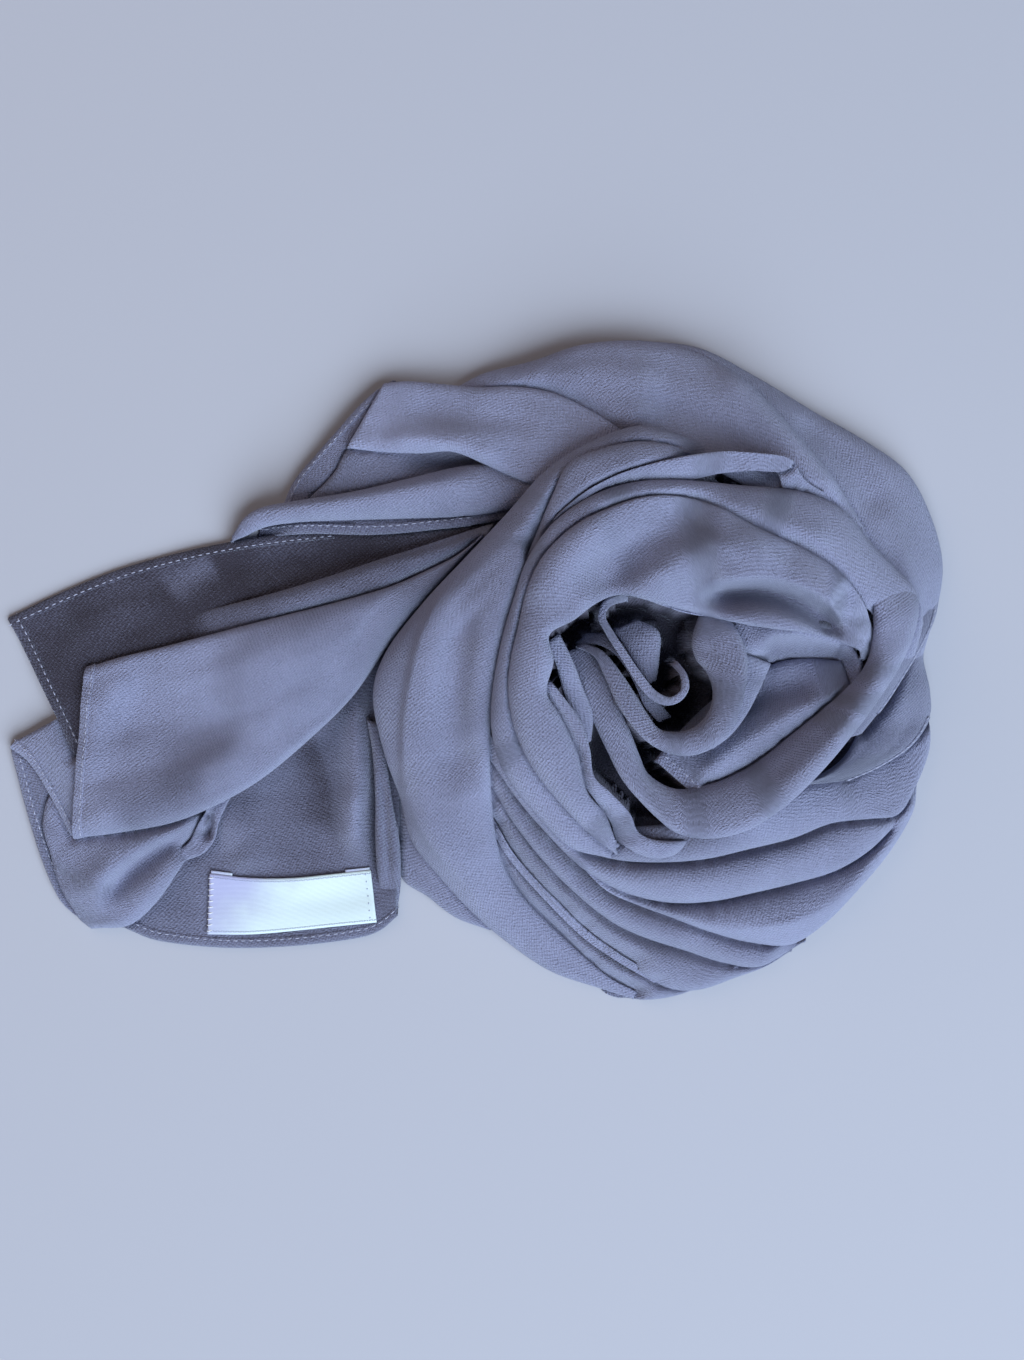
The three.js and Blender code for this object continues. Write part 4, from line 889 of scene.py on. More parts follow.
class Stretch:
    """One stretch of cloth: top is its grid, along the cloth by across it, in millimetres. The plan runs
    straight from the curve of edge a to that of edge b, by a share t. The height there is the straight line
    between theirs plus crown × 4t(1 − t), the ridges and troughs and soft noise, less the quarter ellipses
    of the two rolled edges."""

    def __init__(self, name, folds, rows, seed):
        self.name = name
        self.firm = slice(None)
        before, after = LONGER.get(name, ((), ()))
        rows = [*before, *rows, *after]
        rough_length = np.linalg.norm(np.diff(np.array(rows, float)[:, :2], axis=0), axis=1).sum()
        self.count = int(np.clip(rough_length / STEP_ALONG, *SECTIONS))
        sections, self.length = through(rows, self.count)
        a = placed(sections[:, 0:2], sections[:, 2])
        b = placed(sections[:, 3:5], sections[:, 5])
        az, bz = (np.maximum(sections[:, k], LOWEST_EDGE) for k in (2, 5))
        crown = sections[:, 6]
        width = np.linalg.norm(b - a, axis=1)
        fold_a = np.minimum(np.minimum(folds[0], FOLD_SHARE * width), FOLD_DROP * az)
        fold_b = np.minimum(np.minimum(folds[1], FOLD_SHARE * width), FOLD_DROP * bz)
        arc = 1 - np.cos(np.linspace(0, math.pi / 2, FOLD_POINTS))
        across = int(np.clip(width.max() / STEP_ACROSS, *POINTS_ACROSS))
        flat = np.linspace(0, 1, across + 2)[1:-1]
        wide_a, wide_b = FOLD_REACH * fold_a, FOLD_REACH * fold_b
        inner = wide_a[:, None] + (width - wide_a - wide_b)[:, None] * flat
        s = np.hstack([wide_a[:, None] * arc, inner, width[:, None] - wide_b[:, None] * arc[::-1]])
        t = s / width[:, None]
        run = np.linspace(0, self.length, self.count)[:, None] + 0 * s
        z = az[:, None] + (bz - az)[:, None] * t + crown[:, None] * 4 * t * (1 - t)
        seen = sections[:, None, 0:2] + (sections[:, 3:5] - sections[:, 0:2])[:, None, :] * t[..., None]
        z = z + relief(seen, FORMS.get(name, ()))
        # How light the cloth is painted: the stretch's value and its lines of painted shade and painted light
        tone, painted_light_and_shade = TONES_AND_PAINTED_SHADE.get(name, (0.5, ()))
        self.tone = tone + relief(seen, painted_light_and_shade)
        loose = np.clip(width[:, None] / FULL_WIDTH, 0.25, 1.6)
        settle = np.clip(np.minimum(s, width[:, None] - s) / SETTLE, 0, 1)
        for k, (height, long, wide, shift) in enumerate(UNEVEN):
            z = z + height * loose * settle * soft_noise(run / long + shift, s / wide, seed + k)
        self.turn = rounding(s, fold_a[:, None]) + rounding(width[:, None] - s, fold_b[:, None])
        self.folds = fold_a, fold_b
        self.way = ((b - a) / width[:, None])[:, None, :]
        plan = a[:, None, :] + self.way * s[..., None]
        self.top = np.dstack([plan, z - self.turn])

    def eased(self, under, start, finish):
        """The ends come down into what lies under them, over these shares of the length."""
        share = np.linspace(0, 1, self.count)[:, None]
        held = np.ones_like(share)
        if start:
            held = held * smoothly(share / start)
        if finish:
            held = held * smoothly((1 - share) / finish)
        low = np.maximum(heights_at(under, self.top[..., :2]) - SUNK, 0.3)
        self.top[..., 2] = low + (self.top[..., 2] - low) * held
        clear = np.flatnonzero(held[:, 0] > 0.7)
        self.firm = slice(clear[0], clear[-1] + 1)

    def pressed(self, ceiling):
        """The top is kept under a ceiling, by a minimum that is rounded off over ROUND_OFF."""
        room = heights_at(ceiling, self.top[..., :2]) - CLOSE_TO.get(self.name, LAYER_GAP)
        z = self.top[..., 2]
        blend = np.clip(0.5 + 0.5 * (room - z) / ROUND_OFF, 0, 1)
        z = room * (1 - blend) + z * blend - ROUND_OFF * blend * (1 - blend)
        self.top[..., 2] = np.maximum(z, PRESSED_FLAT)

    def tucked(self, floor):
        """Adds the cloth that turns under at both edges: a quarter circle, then a slant in and down onto the
        layers below. The two ends go straight down to them."""
        top = self.top
        width = np.linalg.norm(top[:, -1, :2] - top[:, 0, :2], axis=1)
        slant = np.linspace(0, 1, TUCK_POINTS + 1)[1:]
        quarter = slant * math.pi / 2
        parts = []
        for side, fold, sign in ((0, self.folds[0], 1), (-1, self.folds[1], -1)):
            edge = top[:, side]
            way = sign * self.way[:, 0]
            turn = np.minimum(fold, TUCK_DROP * edge[:, 2])
            reach = np.minimum(turn + TUCK_REACH, TUCK_SHARE * width)
            foot = edge[:, :2] + way * reach[:, None]
            rest = np.minimum(heights_at(floor, foot) - SINK_IN, edge[:, 2] - turn - OVER_TABLE)
            rest = np.maximum(evened(rest, 5), OVER_TABLE)
            inwards = np.hstack([
                turn[:, None] * (1 - np.cos(quarter)),
                turn[:, None] + (reach - turn)[:, None] * slant,
            ])
            drop = turn[:, None] * np.sin(quarter)
            under = edge[:, 2] - turn
            z = np.hstack([edge[:, 2][:, None] - drop, under[:, None] + (rest - under)[:, None] * slant])
            parts.append(np.dstack([edge[:, None, :2] + way[:, None, :] * inwards[..., None], z]))
        points = np.concatenate([parts[0][:, ::-1], top, parts[1]], axis=1)
        ends = []
        for end, beside in ((0, 1), (-1, -2)):
            row = points[end]
            out = row[:, :2] - points[beside][:, :2]
            out = out / np.maximum(np.linalg.norm(out, axis=1), 1e-6)[:, None]
            highest = np.maximum(row[:, 2] - 0.05, OVER_TABLE)
            rest = np.clip(heights_at(floor, row[:, :2]) - SINK_IN, OVER_TABLE, highest)
            rest = evened(rest, 3)
            plan = row[None, :, :2] + out[None] * END_LEAN[:, None, None] * CLOTH_THICKNESS
            ends.append(np.dstack([plan, row[None, :, 2] + (rest - row[:, 2])[None] * END_DROP[:, None]]))
        self.points = np.concatenate([ends[0][::-1], points, ends[1]], axis=0)
        tones_and_painted_shade = np.pad(self.tone, ((0, 0), (parts[0].shape[1], parts[1].shape[1])), "edge")
        # Painted shade on the cloth that turns under the fold
        shade = TUCK_SHADE * np.clip(np.arange(parts[0].shape[1]) - 2, 0, 4)
        tones_and_painted_shade[:, : len(shade)] -= shade[::-1]
        tones_and_painted_shade[:, -len(shade) :] -= shade
        self.tones_and_painted_shade = np.pad(tones_and_painted_shade, ((len(END_DROP), len(END_DROP)), (0, 0)), "edge")

    def lines_from(self, side):
        """The grid's lines from one side inwards: edge a, edge b, or the start of its length."""
        return {"a": self.top, "b": self.top[:, ::-1], "start": self.top.transpose(1, 0, 2)}[side]

    def band(self, side, first, last, insets, step):
        """Points on the top at these distances in from a side, between two shares of the side's length, and
        the distance run along that side."""
        lines = self.lines_from(side)
        edge_run = run_along(lines[:, 0])
        run = np.arange(first * edge_run[-1], last * edge_run[-1], step)
        i = np.clip(np.searchsorted(edge_run, run) - 1, 0, len(edge_run) - 2)
        f = ((run - edge_run[i]) / (edge_run[i + 1] - edge_run[i]))[:, None, None]
        lines = lines[i] * (1 - f) + lines[i + 1] * f
        inwards = np.cumsum(np.linalg.norm(np.diff(lines, axis=1), axis=2), axis=1)
        inwards = np.hstack([np.zeros((len(run), 1)), inwards])
        insets = np.broadcast_to(insets, (len(run), np.shape(insets)[-1]))
        k = np.clip((inwards[:, None, :] < insets[..., None]).sum(axis=2) - 1, 0, lines.shape[1] - 2)
        near, far = (np.take_along_axis(inwards, k + n, axis=1) for n in (0, 1))
        g = ((insets - near) / np.maximum(far - near, 1e-6))[..., None]
        inner, outer = (np.take_along_axis(lines, (k + n)[..., None], axis=1) for n in (0, 1))
        return inner * (1 - g) + outer * g, run


def evened(values, reach):
    """Values averaged with their neighbours, that many to each side."""
    kernel = np.hanning(2 * reach + 3)[1:-1]
    return np.convolve(np.pad(values, reach, "edge"), kernel / kernel.sum(), "valid")


def run_along(line):
    """The distance run along a line up to each of its points."""
    return np.concatenate([[0], np.cumsum(np.linalg.norm(np.diff(line, axis=0), axis=1))])


# What lies over and under what, as maps of heights

CELL = 0.8
MAP_LOW = np.array([-180.0, -130.0])
MAP_SHAPE = (460, 330)
FAR = 120.0  # stands for no ceiling
SPREAD_ROUNDS = 7  # cells that a layer's height is handed on beside it
STEEP_ROUNDS = 3


def heights_at(field, plan):
    """A map read between the middles of its four nearest cells."""
    spot = np.clip((plan - MAP_LOW) / CELL - 0.5, 0, np.array(MAP_SHAPE) - 1.001)
    i, j = spot[..., 0].astype(int), spot[..., 1].astype(int)
    f, g = spot[..., 0] - i, spot[..., 1] - j
    low = field[i, j] * (1 - f) + field[i + 1, j] * f
    high = field[i, j + 1] * (1 - f) + field[i + 1, j + 1] * f
    return low * (1 - g) + high * g


def drawn(top, nowhere):
    """The height of a grid's surface in every map cell: the grid is made finer than a cell by linear steps,
    and each cell keeps the mean of its points."""
    fine = top
    for axis in (0, 1):
        gap = np.linalg.norm(np.diff(fine[..., :2], axis=axis), axis=2).max()
        factor = max(1, math.ceil(gap / (0.55 * CELL)))
        count = (fine.shape[axis] - 1) * factor + 1
        t = np.linspace(0, fine.shape[axis] - 1, count)
        i = np.minimum(t.astype(int), fine.shape[axis] - 2)
        f = (t - i).reshape((-1, 1, 1) if axis == 0 else (1, -1, 1))
        fine = np.take(fine, i, axis) * (1 - f) + np.take(fine, i + 1, axis) * f
    cell = np.clip(((fine[..., :2] - MAP_LOW) / CELL).astype(int), 0, np.array(MAP_SHAPE) - 1)
    index = (cell[..., 0] * MAP_SHAPE[1] + cell[..., 1]).ravel()
    size = MAP_SHAPE[0] * MAP_SHAPE[1]
    number = np.bincount(index, minlength=size)
    total = np.bincount(index, fine[..., 2].ravel(), size)
    return np.where(number > 0, total / np.maximum(number, 1), nowhere).reshape(MAP_SHAPE)


def spread(field):
    """A ceiling that goes on beside a layer, where it rises by a quarter of an ellipse and then slowly. The
    height of the nearest layer, and the distance to it, are handed on from cell to cell."""
    neighbours = [(i, j) for i in (-1, 0, 1) for j in (-1, 0, 1) if i or j]
    height, distance = field, np.where(field < FAR, 0.0, 1e3)
    for _ in range(SPREAD_ROUNDS):
        for way in neighbours:
            near = np.roll(distance, way, (0, 1)) + CELL * math.hypot(*way)
            closer = near < distance - 1e-6
            distance = np.where(closer, near, distance)
            height = np.where(closer, np.roll(height, way, (0, 1)), height)
    inside = np.clip(1 - distance / VALLEY_REACH, 0, 1)
    rise = VALLEY_RISE * np.sqrt(1 - inside**2) + VALLEY_SLOPE * np.maximum(distance - VALLEY_REACH, 0)
    best = np.minimum(height + rise, FAR)
    for _ in range(STEEP_ROUNDS):
        for way in neighbours:
            best = np.minimum(best, np.roll(best, way, (0, 1)) + STEEPEST * CELL * math.hypot(*way))
    smooth = sum(np.roll(best, way, (0, 1)) for way in neighbours + [(0, 0)]) / 9
    return np.where(distance > 0, smooth, best)


stretches = [Stretch(name, folds, rows, 10 * i) for i, (name, folds, rows) in enumerate(STRETCHES)]
by_name = {stretch.name: stretch for stretch in stretches}

# Ends that come down onto the cloth under them, from the bottom layer up
natural = np.zeros(MAP_SHAPE)
for stretch in stretches:
    if stretch.name in EASED_ENDS:
        stretch.eased(natural, *EASED_ENDS[stretch.name])
    natural = np.maximum(natural, drawn(stretch.top[stretch.firm], 0))

# From the top layer down, each stretch is pressed under those that lie over it
ceiling = np.full(MAP_SHAPE, FAR)
rim_ceiling = np.full(MAP_SHAPE, FAR)
outer = [stretch for stretch in reversed(stretches) if stretch.name not in EYE]
first = 1 + max(i for i, stretch in enumerate(outer) if stretch.name in EYE_RIM)
for stretch in outer[:first] + [by_name[name] for name in EYE] + outer[first:]:
    stretch.pressed(spread(rim_ceiling if stretch.name in EYE else ceiling))
    pressing = stretch.top[: round(PRESSING.get(stretch.name, 1) * stretch.count)][stretch.firm]
    heights = drawn(pressing, FAR)
    ceiling = np.minimum(ceiling, heights)
    if stretch.name in EYE or stretch.name in EYE_RIM:
        rim_ceiling = np.minimum(rim_ceiling, heights)
open_ceiling = spread(ceiling)

# From the table up, each stretch's edges turn under onto those that it lies on
floor = np.zeros(MAP_SHAPE)
for stretch in stretches:
    stretch.tucked(floor)
    floor = np.maximum(floor, drawn(stretch.top, 0))

# Meshes


def made(name, points, faces, uv=None, tone=None):
    """A mesh object of points in millimetres, with its faces and, where given, a uv for each point in metres
    and how light its cloth is painted, painted shade and painted light included."""
    mesh = bpy.data.meshes.new(name)
    points = np.asarray(points, float).reshape(-1, 3) * MM
    faces = np.asarray(faces, int)
    mesh.vertices.add(len(points))
    mesh.vertices.foreach_set("co", points.ravel())
    mesh.loops.add(faces.size)
    mesh.loops.foreach_set("vertex_index", faces.ravel())
    mesh.polygons.add(len(faces))
    mesh.polygons.foreach_set("loop_start", np.arange(0, faces.size, faces.shape[1]))
    mesh.polygons.foreach_set("use_smooth", np.ones(len(faces), bool))
    mesh.update(calc_edges=True)
    if uv is not None:
        layer = mesh.uv_layers.new(name="weave")
        layer.data.foreach_set("uv", np.asarray(uv, float).reshape(-1, 2)[faces.ravel()].ravel())
    if tone is not None:
        light = mesh.attributes.new("tone", "FLOAT", "POINT")
        light.data.foreach_set("value", np.asarray(tone, np.float32).ravel())
    mesh.validate()
    obj = bpy.data.objects.new(name, mesh)
    bpy.context.scene.collection.objects.link(obj)
    return obj


def grid_faces(rows, columns, closed=False):
    """Quads between neighbouring rows and columns of a grid, joined round its columns where closed."""
    i = np.arange(rows - 1)[:, None]
    j = np.arange(columns if closed else columns - 1)[None, :]
    k = (j + 1) % columns
    near, far = i * columns, (i + 1) * columns
    return np.stack([near + j, near + k, far + k, far + j], -1).reshape(-1, 4)


def upward(points, faces):
    """Faces turned so that most of them face up."""
    flat = points.reshape(-1, 3)
    a, b, c = (flat[faces[:, n]] for n in range(3))
    return faces if np.cross(b - a, c - a)[:, 2].sum() > 0 else faces[:, ::-1]


def lengths_along(points):
    """uv of a grid in metres: the distance along each of its lines and across each of its sections."""
    along = np.linalg.norm(np.diff(points, axis=0), axis=2).mean(axis=1)
    across = np.linalg.norm(np.diff(points, axis=1), axis=2)
    u = np.concatenate([[0], np.cumsum(along)])[:, None] + np.zeros(points.shape[:2])
    v = np.concatenate([np.zeros((points.shape[0], 1)), np.cumsum(across, axis=1)], axis=1)
    return np.dstack([u, v]) * MM


def walled(obj, thickness):
    """A live wall that grows inwards from a surface."""
    wall = obj.modifiers.new("wall", "SOLIDIFY")
    wall.thickness = thickness * MM
    wall.offset = -1


# Finishes

CREPE_WAVES = ((24, 0.98), (-61, 1.24))  # the turn and the pitch in mm of its two sets of threads
CREPE_DARKEST = 0.78  # the sum of the point's painted light and shade, patch and crinkle that gives the dark colour, and the light one
CREPE_LIGHTEST = 1.86
WAVE_SCALE = 0.314  # of the wave texture, for bands one unit apart


def node_of(tree, kind, **values):
    """A new node, with values for its inputs and its settings."""
    node = tree.nodes.new(kind)
    for key, value in values.items():
        if key in node.inputs:
            node.inputs[key].default_value = value
        else:
            setattr(node, key, value)
    return node


def finish_of(name, **values):
    """A new material, its node tree, and the one shader in it, with these values."""
    material = bpy.data.materials.new(name)
    material.use_nodes = True
    tree = material.node_tree
    tree.nodes.clear()
    out = node_of(tree, "ShaderNodeOutputMaterial")
    shader = node_of(tree, "ShaderNodeBsdfPrincipled", **values)
    tree.links.new(shader.outputs[0], out.inputs[0])
    return material, tree, shader


def waves(tree, uv, turn, pitch, **values):
    """Bands that pitch in millimetres apart, turned by some degrees."""
    turned = node_of(tree, "ShaderNodeMapping", Rotation=(0, 0, math.radians(turn)))
    wave = node_of(tree, "ShaderNodeTexWave", Scale=WAVE_SCALE / (pitch * MM), Detail=2.0, **values)
    tree.links.new(uv, turned.inputs[0])
    tree.links.new(turned.outputs[0], wave.inputs[0])
    return wave.outputs[1]


def noise(tree, place, scale, detail, roughness=0.5):
    """Soft noise at that scale."""
    texture = node_of(tree, "ShaderNodeTexNoise", Scale=scale, Detail=detail, Roughness=roughness)
    tree.links.new(place, texture.inputs[0])
    return texture.outputs[0]


def times_plus(tree, value, factor, added):
    """value × factor + added, which is a number or another output."""
    node = node_of(tree, "ShaderNodeMath", operation="MULTIPLY_ADD")
    tree.links.new(value, node.inputs[0])
    node.inputs[1].default_value = factor
    if isinstance(added, float):
        node.inputs[2].default_value = added
    else:
        tree.links.new(added, node.inputs[2])
    return node.outputs[0]


def coloured(tree, shader, share, low, high):
    """The shader's colour goes from low to high with a share."""
    mix = node_of(tree, "ShaderNodeMix", data_type="RGBA")
    mix.inputs[6].default_value = (*low, 1)
    mix.inputs[7].default_value = (*high, 1)
    tree.links.new(share, mix.inputs[0])
    tree.links.new(mix.outputs[2], shader.inputs["Base Color"])


def bumped(tree, shader, height, strength, distance):
    """The shader's surface is raised by a height, over a distance in millimetres."""
    bump = node_of(tree, "ShaderNodeBump", Strength=strength, Distance=distance * MM)
    tree.links.new(height, bump.inputs["Height"])
    tree.links.new(bump.outputs[0], shader.inputs["Normal"])


def crepe(name, light, dark):
    """Crepe chiffon: a fine crinkled weave across the cloth's own uv, uneven colour, painted shade and
    painted light from each point's attribute, and a soft sheen. The crinkle is half the sum of the two waves
    plus a fine noise that is stretched into short dashes."""
    sheen = {"Sheen Weight": 0.45, "Sheen Roughness": 0.45, "Sheen Tint": (0.72, 0.80, 1.0, 1)}
    material, tree, shader = finish_of(name, Roughness=0.78, **{"Specular IOR Level": 0.22}, **sheen)
    uv = node_of(tree, "ShaderNodeUVMap", uv_map="weave").outputs[0]
    place = node_of(tree, "ShaderNodeTexCoord").outputs["Object"]
    uneven = {"Distortion": 3.4, "Detail Scale": 2.6}
    first, second = (waves(tree, uv, turn, pitch, **uneven) for turn, pitch in CREPE_WAVES)
    dashes = node_of(tree, "ShaderNodeMapping", Rotation=(0, 0, math.radians(14)), Scale=(0.5, 1.3, 1))
    tree.links.new(uv, dashes.inputs[0])
    grain = noise(tree, dashes.outputs[0], 1650, 2, 0.62)
    woven = times_plus(tree, first, 0.5, times_plus(tree, second, 0.5, 0.0))
    crinkle = times_plus(tree, grain, 3.4, woven)
    bumped(tree, shader, crinkle, 0.9, 0.36)
    patch = times_plus(tree, noise(tree, place, 28, 3, 0.55), 0.55, 0.225)
    fleck = times_plus(tree, crinkle, 0.17, patch)
    # Each point's painted shade and painted light, with the duskiness of thin cloth
    layers = node_of(tree, "ShaderNodeAttribute", attribute_name="tone")
    total = times_plus(tree, layers.outputs["Fac"], 1.0, fleck)
    tone = node_of(tree, "ShaderNodeMapRange", **{"From Min": CREPE_DARKEST, "From Max": CREPE_LIGHTEST})
    tree.links.new(total, tone.inputs[0])
    coloured(tree, shader, tone.outputs[0], dark, light)
    return material


def satin(name, left, right):
    """Woven satin: fine ribs along the label, and a colour painted with shade and sheen that goes from a
    shaded one at its left to a gleaming one at its right, along a slant and a little cloudily."""
    sheen = {"Sheen Weight": 0.2, "Anisotropic": 0.5}
    material, tree, shader = finish_of(name, Roughness=0.38, **sheen)
    uv = node_of(tree, "ShaderNodeUVMap", uv_map="weave").outputs[0]
    parts = node_of(tree, "ShaderNodeSeparateXYZ")
    tree.links.new(uv, parts.inputs[0])
    slanted = times_plus(tree, parts.outputs[1], -0.9, parts.outputs[0])
    cloudy = times_plus(tree, noise(tree, uv, 90, 3), 0.022, slanted)
    painted_sheen_and_shade = node_of(tree, "ShaderNodeMapRange", interpolation_type="SMOOTHSTEP")
    painted_sheen_and_shade.inputs["From Min"].default_value = -2 * MM
    painted_sheen_and_shade.inputs["From Max"].default_value = 34 * MM
    tree.links.new(cloudy, painted_sheen_and_shade.inputs[0])
    coloured(tree, shader, painted_sheen_and_shade.outputs[0], left, right)
    bumped(tree, shader, waves(tree, uv, 90, 0.45, Distortion=1.0), 0.35, 0.12)
    return material


def thread(name, colour):
    """Sewing thread: a plain soft colour with fine twist marks."""
    material, tree, shader = finish_of(name, Roughness=0.6, **{"Sheen Weight": 0.3})
    place = node_of(tree, "ShaderNodeTexCoord").outputs["Object"]
    coloured(tree, shader, noise(tree, place, 2500, 2), [0.75 * c for c in colour], colour)
    return material


# The crepe's dark colour is that of its deepest painted shade
CREPE = crepe("lavender crepe", (0.375, 0.402, 0.612), (0.034, 0.028, 0.044))
# A darker copy of the crepe for the hidden layers in the coil: painted shade
CREPE_PAINTED_SHADE = crepe("lavender crepe in painted shade", (0.100, 0.100, 0.150), (0.034, 0.028, 0.044))
# The label's colours: painted shade at its left end, a painted sheen at its right
SATIN = satin("label satin", (0.38, 0.40, 0.62), (0.59, 0.71, 0.74))
THREAD = thread("hem thread", (0.39, 0.41, 0.55))
LABEL_THREAD = thread("label thread", (0.80, 0.82, 0.88))
EDGE_THREAD = thread("label edge thread", (0.34, 0.38, 0.56))

# The cloth


def finished(obj, material):
    """A piece that rides on the scarf, with its finish and the slot that it takes it from."""
    obj.data.materials.append(material)
    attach(obj, "root")


def cut_cloth(node):
    """A piece of cloth stands for a solid, which is hidden. A cut with less than the piece's area is made
    longer.
    """
    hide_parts(node)


for i, stretch in enumerate(stretches):
    points = stretch.points
    faces = upward(points, grid_faces(*points.shape[:2]))
    obj = made("cloth_" + stretch.name, points, faces, lengths_along(points), stretch.tones_and_painted_shade)
    walled(obj, CLOTH_THICKNESS)
    finished(obj, CREPE)
    cut_cloth(stretch.name)

# The layers hidden in the coil

HIDDEN_STEP = 2.4
EYE_X = 68  # the middle of the eye
EYE_REACH = 70  # round it, where the surface has no gap
UNDER_LAYERS = 3  # that the surface keeps under the layers over it
UNDER_RIM = 12  # that it keeps under them where they don't cover it
PIT_HEIGHT = 9
HIDDEN_HEIGHTS = (0.6, 40)  # at least and at most
# Painted shade: how light the hidden layers are painted, in the darker copy of the crepe
HIDDEN_PAINTED_SHADE = 0.4


def hidden_surface():
    """One surface under every stretch, that sinks where the eye opens. The floor of the eye is PIT_HEIGHT
    plus 2.2 × the sine of three turns round the eye and of the distance from it, plus soft noise. Its points,
    faces and uv are kept where it is covered or in the eye, less two rows at its border."""
    x, y = np.meshgrid(np.arange(-170, 172, HIDDEN_STEP), np.arange(-120, 121, HIDDEN_STEP), indexing="ij")
    plan = np.dstack([x, y])
    lid = heights_at(open_ceiling, plan)
    from_eye = np.hypot(x - EYE_X, y)
    swirl = 3 * np.arctan2(y, x - EYE_X) + from_eye / 6
    pit = PIT_HEIGHT + 2.2 * np.sin(swirl) + 1.5 * soft_noise(x / 12, y / 12, 91)
    roofed = heights_at(ceiling, plan) < 90
    height = np.where(roofed, lid - UNDER_LAYERS, np.maximum(np.minimum(lid - UNDER_RIM, pit), 4))
    kept = (roofed & (height > 1.4)) | (from_eye < EYE_REACH)
    for _ in range(2):
        inner = np.zeros_like(kept)
        beside = kept[:-2, 1:-1] & kept[2:, 1:-1] & kept[1:-1, :-2] & kept[1:-1, 2:]
        inner[1:-1, 1:-1] = kept[1:-1, 1:-1] & beside
        kept = inner
    faces = grid_faces(*x.shape)
    faces = faces[kept.ravel()[faces].all(axis=1)]
    used, faces = np.unique(faces, return_inverse=True)
    points = np.dstack([plan, np.clip(height, *HIDDEN_HEIGHTS)]).reshape(-1, 3)[used]
    return points, upward(points, faces.reshape(-1, 4)), points[:, :2] * MM


points, faces, uv = hidden_surface()
core = made("cloth_hidden_layers", points, faces, uv, np.full(len(points), HIDDEN_PAINTED_SHADE))
walled(core, CLOTH_THICKNESS)
finished(core, CREPE_PAINTED_SHADE)
cut_cloth("hidden_layers")

# Label

LABEL_LIFT = 1.3  # of its top over the cloth that it is sewn to
LABEL_THREAD_LIFT = 0.11  # of its stitches over its top
LABEL_POINTS = (90, 28)
LABEL_EVENED = 4  # points to each side, over which it smooths what lies under it

# The plan positions of its lower and upper border, from its left end to its right one
LABEL_ROWS = [
    (-97.5, -95.6, -96.6, -73.6),
    (-82, -95.6, -81.5, -75.2),
    (-67, -94.4, -67, -75.2),
    (-52, -92.8, -52.6, -73.8),
    (-36.4, -91.2, -38.6, -72.4),
]


def label_grid():
    """The label's top: curves through LABEL_ROWS, straight across, over the mean height of the cloth."""
    rows = [(x0, y0, 0, x1, y1, 0, 0) for x0, y0, x1, y1 in LABEL_ROWS]
    along, _ = through(rows, LABEL_POINTS[0])
    share = np.linspace(0, 1, LABEL_POINTS[1])[None, :, None]
    plan = along[:, None, 0:2] * (1 - share) + along[:, None, 3:5] * share
    plan = placed(plan, np.full(plan.shape[:2], 5.0))
    kernel = np.ones(2 * LABEL_EVENED + 1) / (2 * LABEL_EVENED + 1)
    mean = lambda line: np.convolve(np.pad(line, LABEL_EVENED, "edge"), kernel, "valid")
    z = np.apply_along_axis(mean, 0, heights_at(floor, plan))
    z = np.apply_along_axis(mean, 1, z)
    return np.dstack([plan, z + LABEL_LIFT])


label_top = label_grid()
faces = upward(label_top, grid_faces(*label_top.shape[:2]))
label = made("label_satin", label_top, faces, lengths_along(label_top))
walled(label, CLOTH_THICKNESS)
finished(label, SATIN)
cut_cloth("label")


def on_label(along_mm, up_mm, lift):
    """Points on the label's top or a little outside it: bilinear in its grid, whose edge slopes go on."""
    size = lengths_along(label_top).reshape(*label_top.shape[:2], 2) / MM
    u = np.asarray(along_mm, float) / size[-1, :, 0].mean() * (label_top.shape[0] - 1)
    v = np.asarray(up_mm, float) / size[:, -1, 1].mean() * (label_top.shape[1] - 1)
    u, v = np.broadcast_arrays(u, v)
    i = np.clip(np.floor(u).astype(int), 0, label_top.shape[0] - 2)
    j = np.clip(np.floor(v).astype(int), 0, label_top.shape[1] - 2)
    f, g = (u - i)[..., None], (v - j)[..., None]
    low = label_top[i, j] * (1 - f) + label_top[i + 1, j] * f
    high = label_top[i, j + 1] * (1 - f) + label_top[i + 1, j + 1] * f
    return low * (1 - g) + high * g + np.array([0, 0, lift])


# The ends of the label are turned under, and show as a narrow step over its upper edge
TURNED_ENDS = (("left", 0.4, 8.2), ("right", 49.6, 58.9))
STEP_FROM, STEP_TO, STEP_LIFT = 17.5, 20.7, -0.32

for name, first, last in TURNED_ENDS:
    step = np.linspace(STEP_FROM, STEP_TO, 8)[None, :]
    end = on_label(np.linspace(first, last, 12)[:, None], step, STEP_LIFT)
    faces = upward(end, grid_faces(*end.shape[:2]))
    turned = made("label_turned_end_" + name, end, faces, lengths_along(end))
    walled(turned, CLOTH_THICKNESS / 2)
    finished(turned, SATIN)

# Sewing


def normals_of(grid):
    """Unit normals of a grid's surface, all on its upper side."""
    n = np.cross(np.gradient(grid, axis=0), np.gradient(grid, axis=1))
    n = n / np.maximum(np.linalg.norm(n, axis=2), 1e-9)[..., None]
    return n * np.where(n[..., 2:] < 0, -1.0, 1.0)


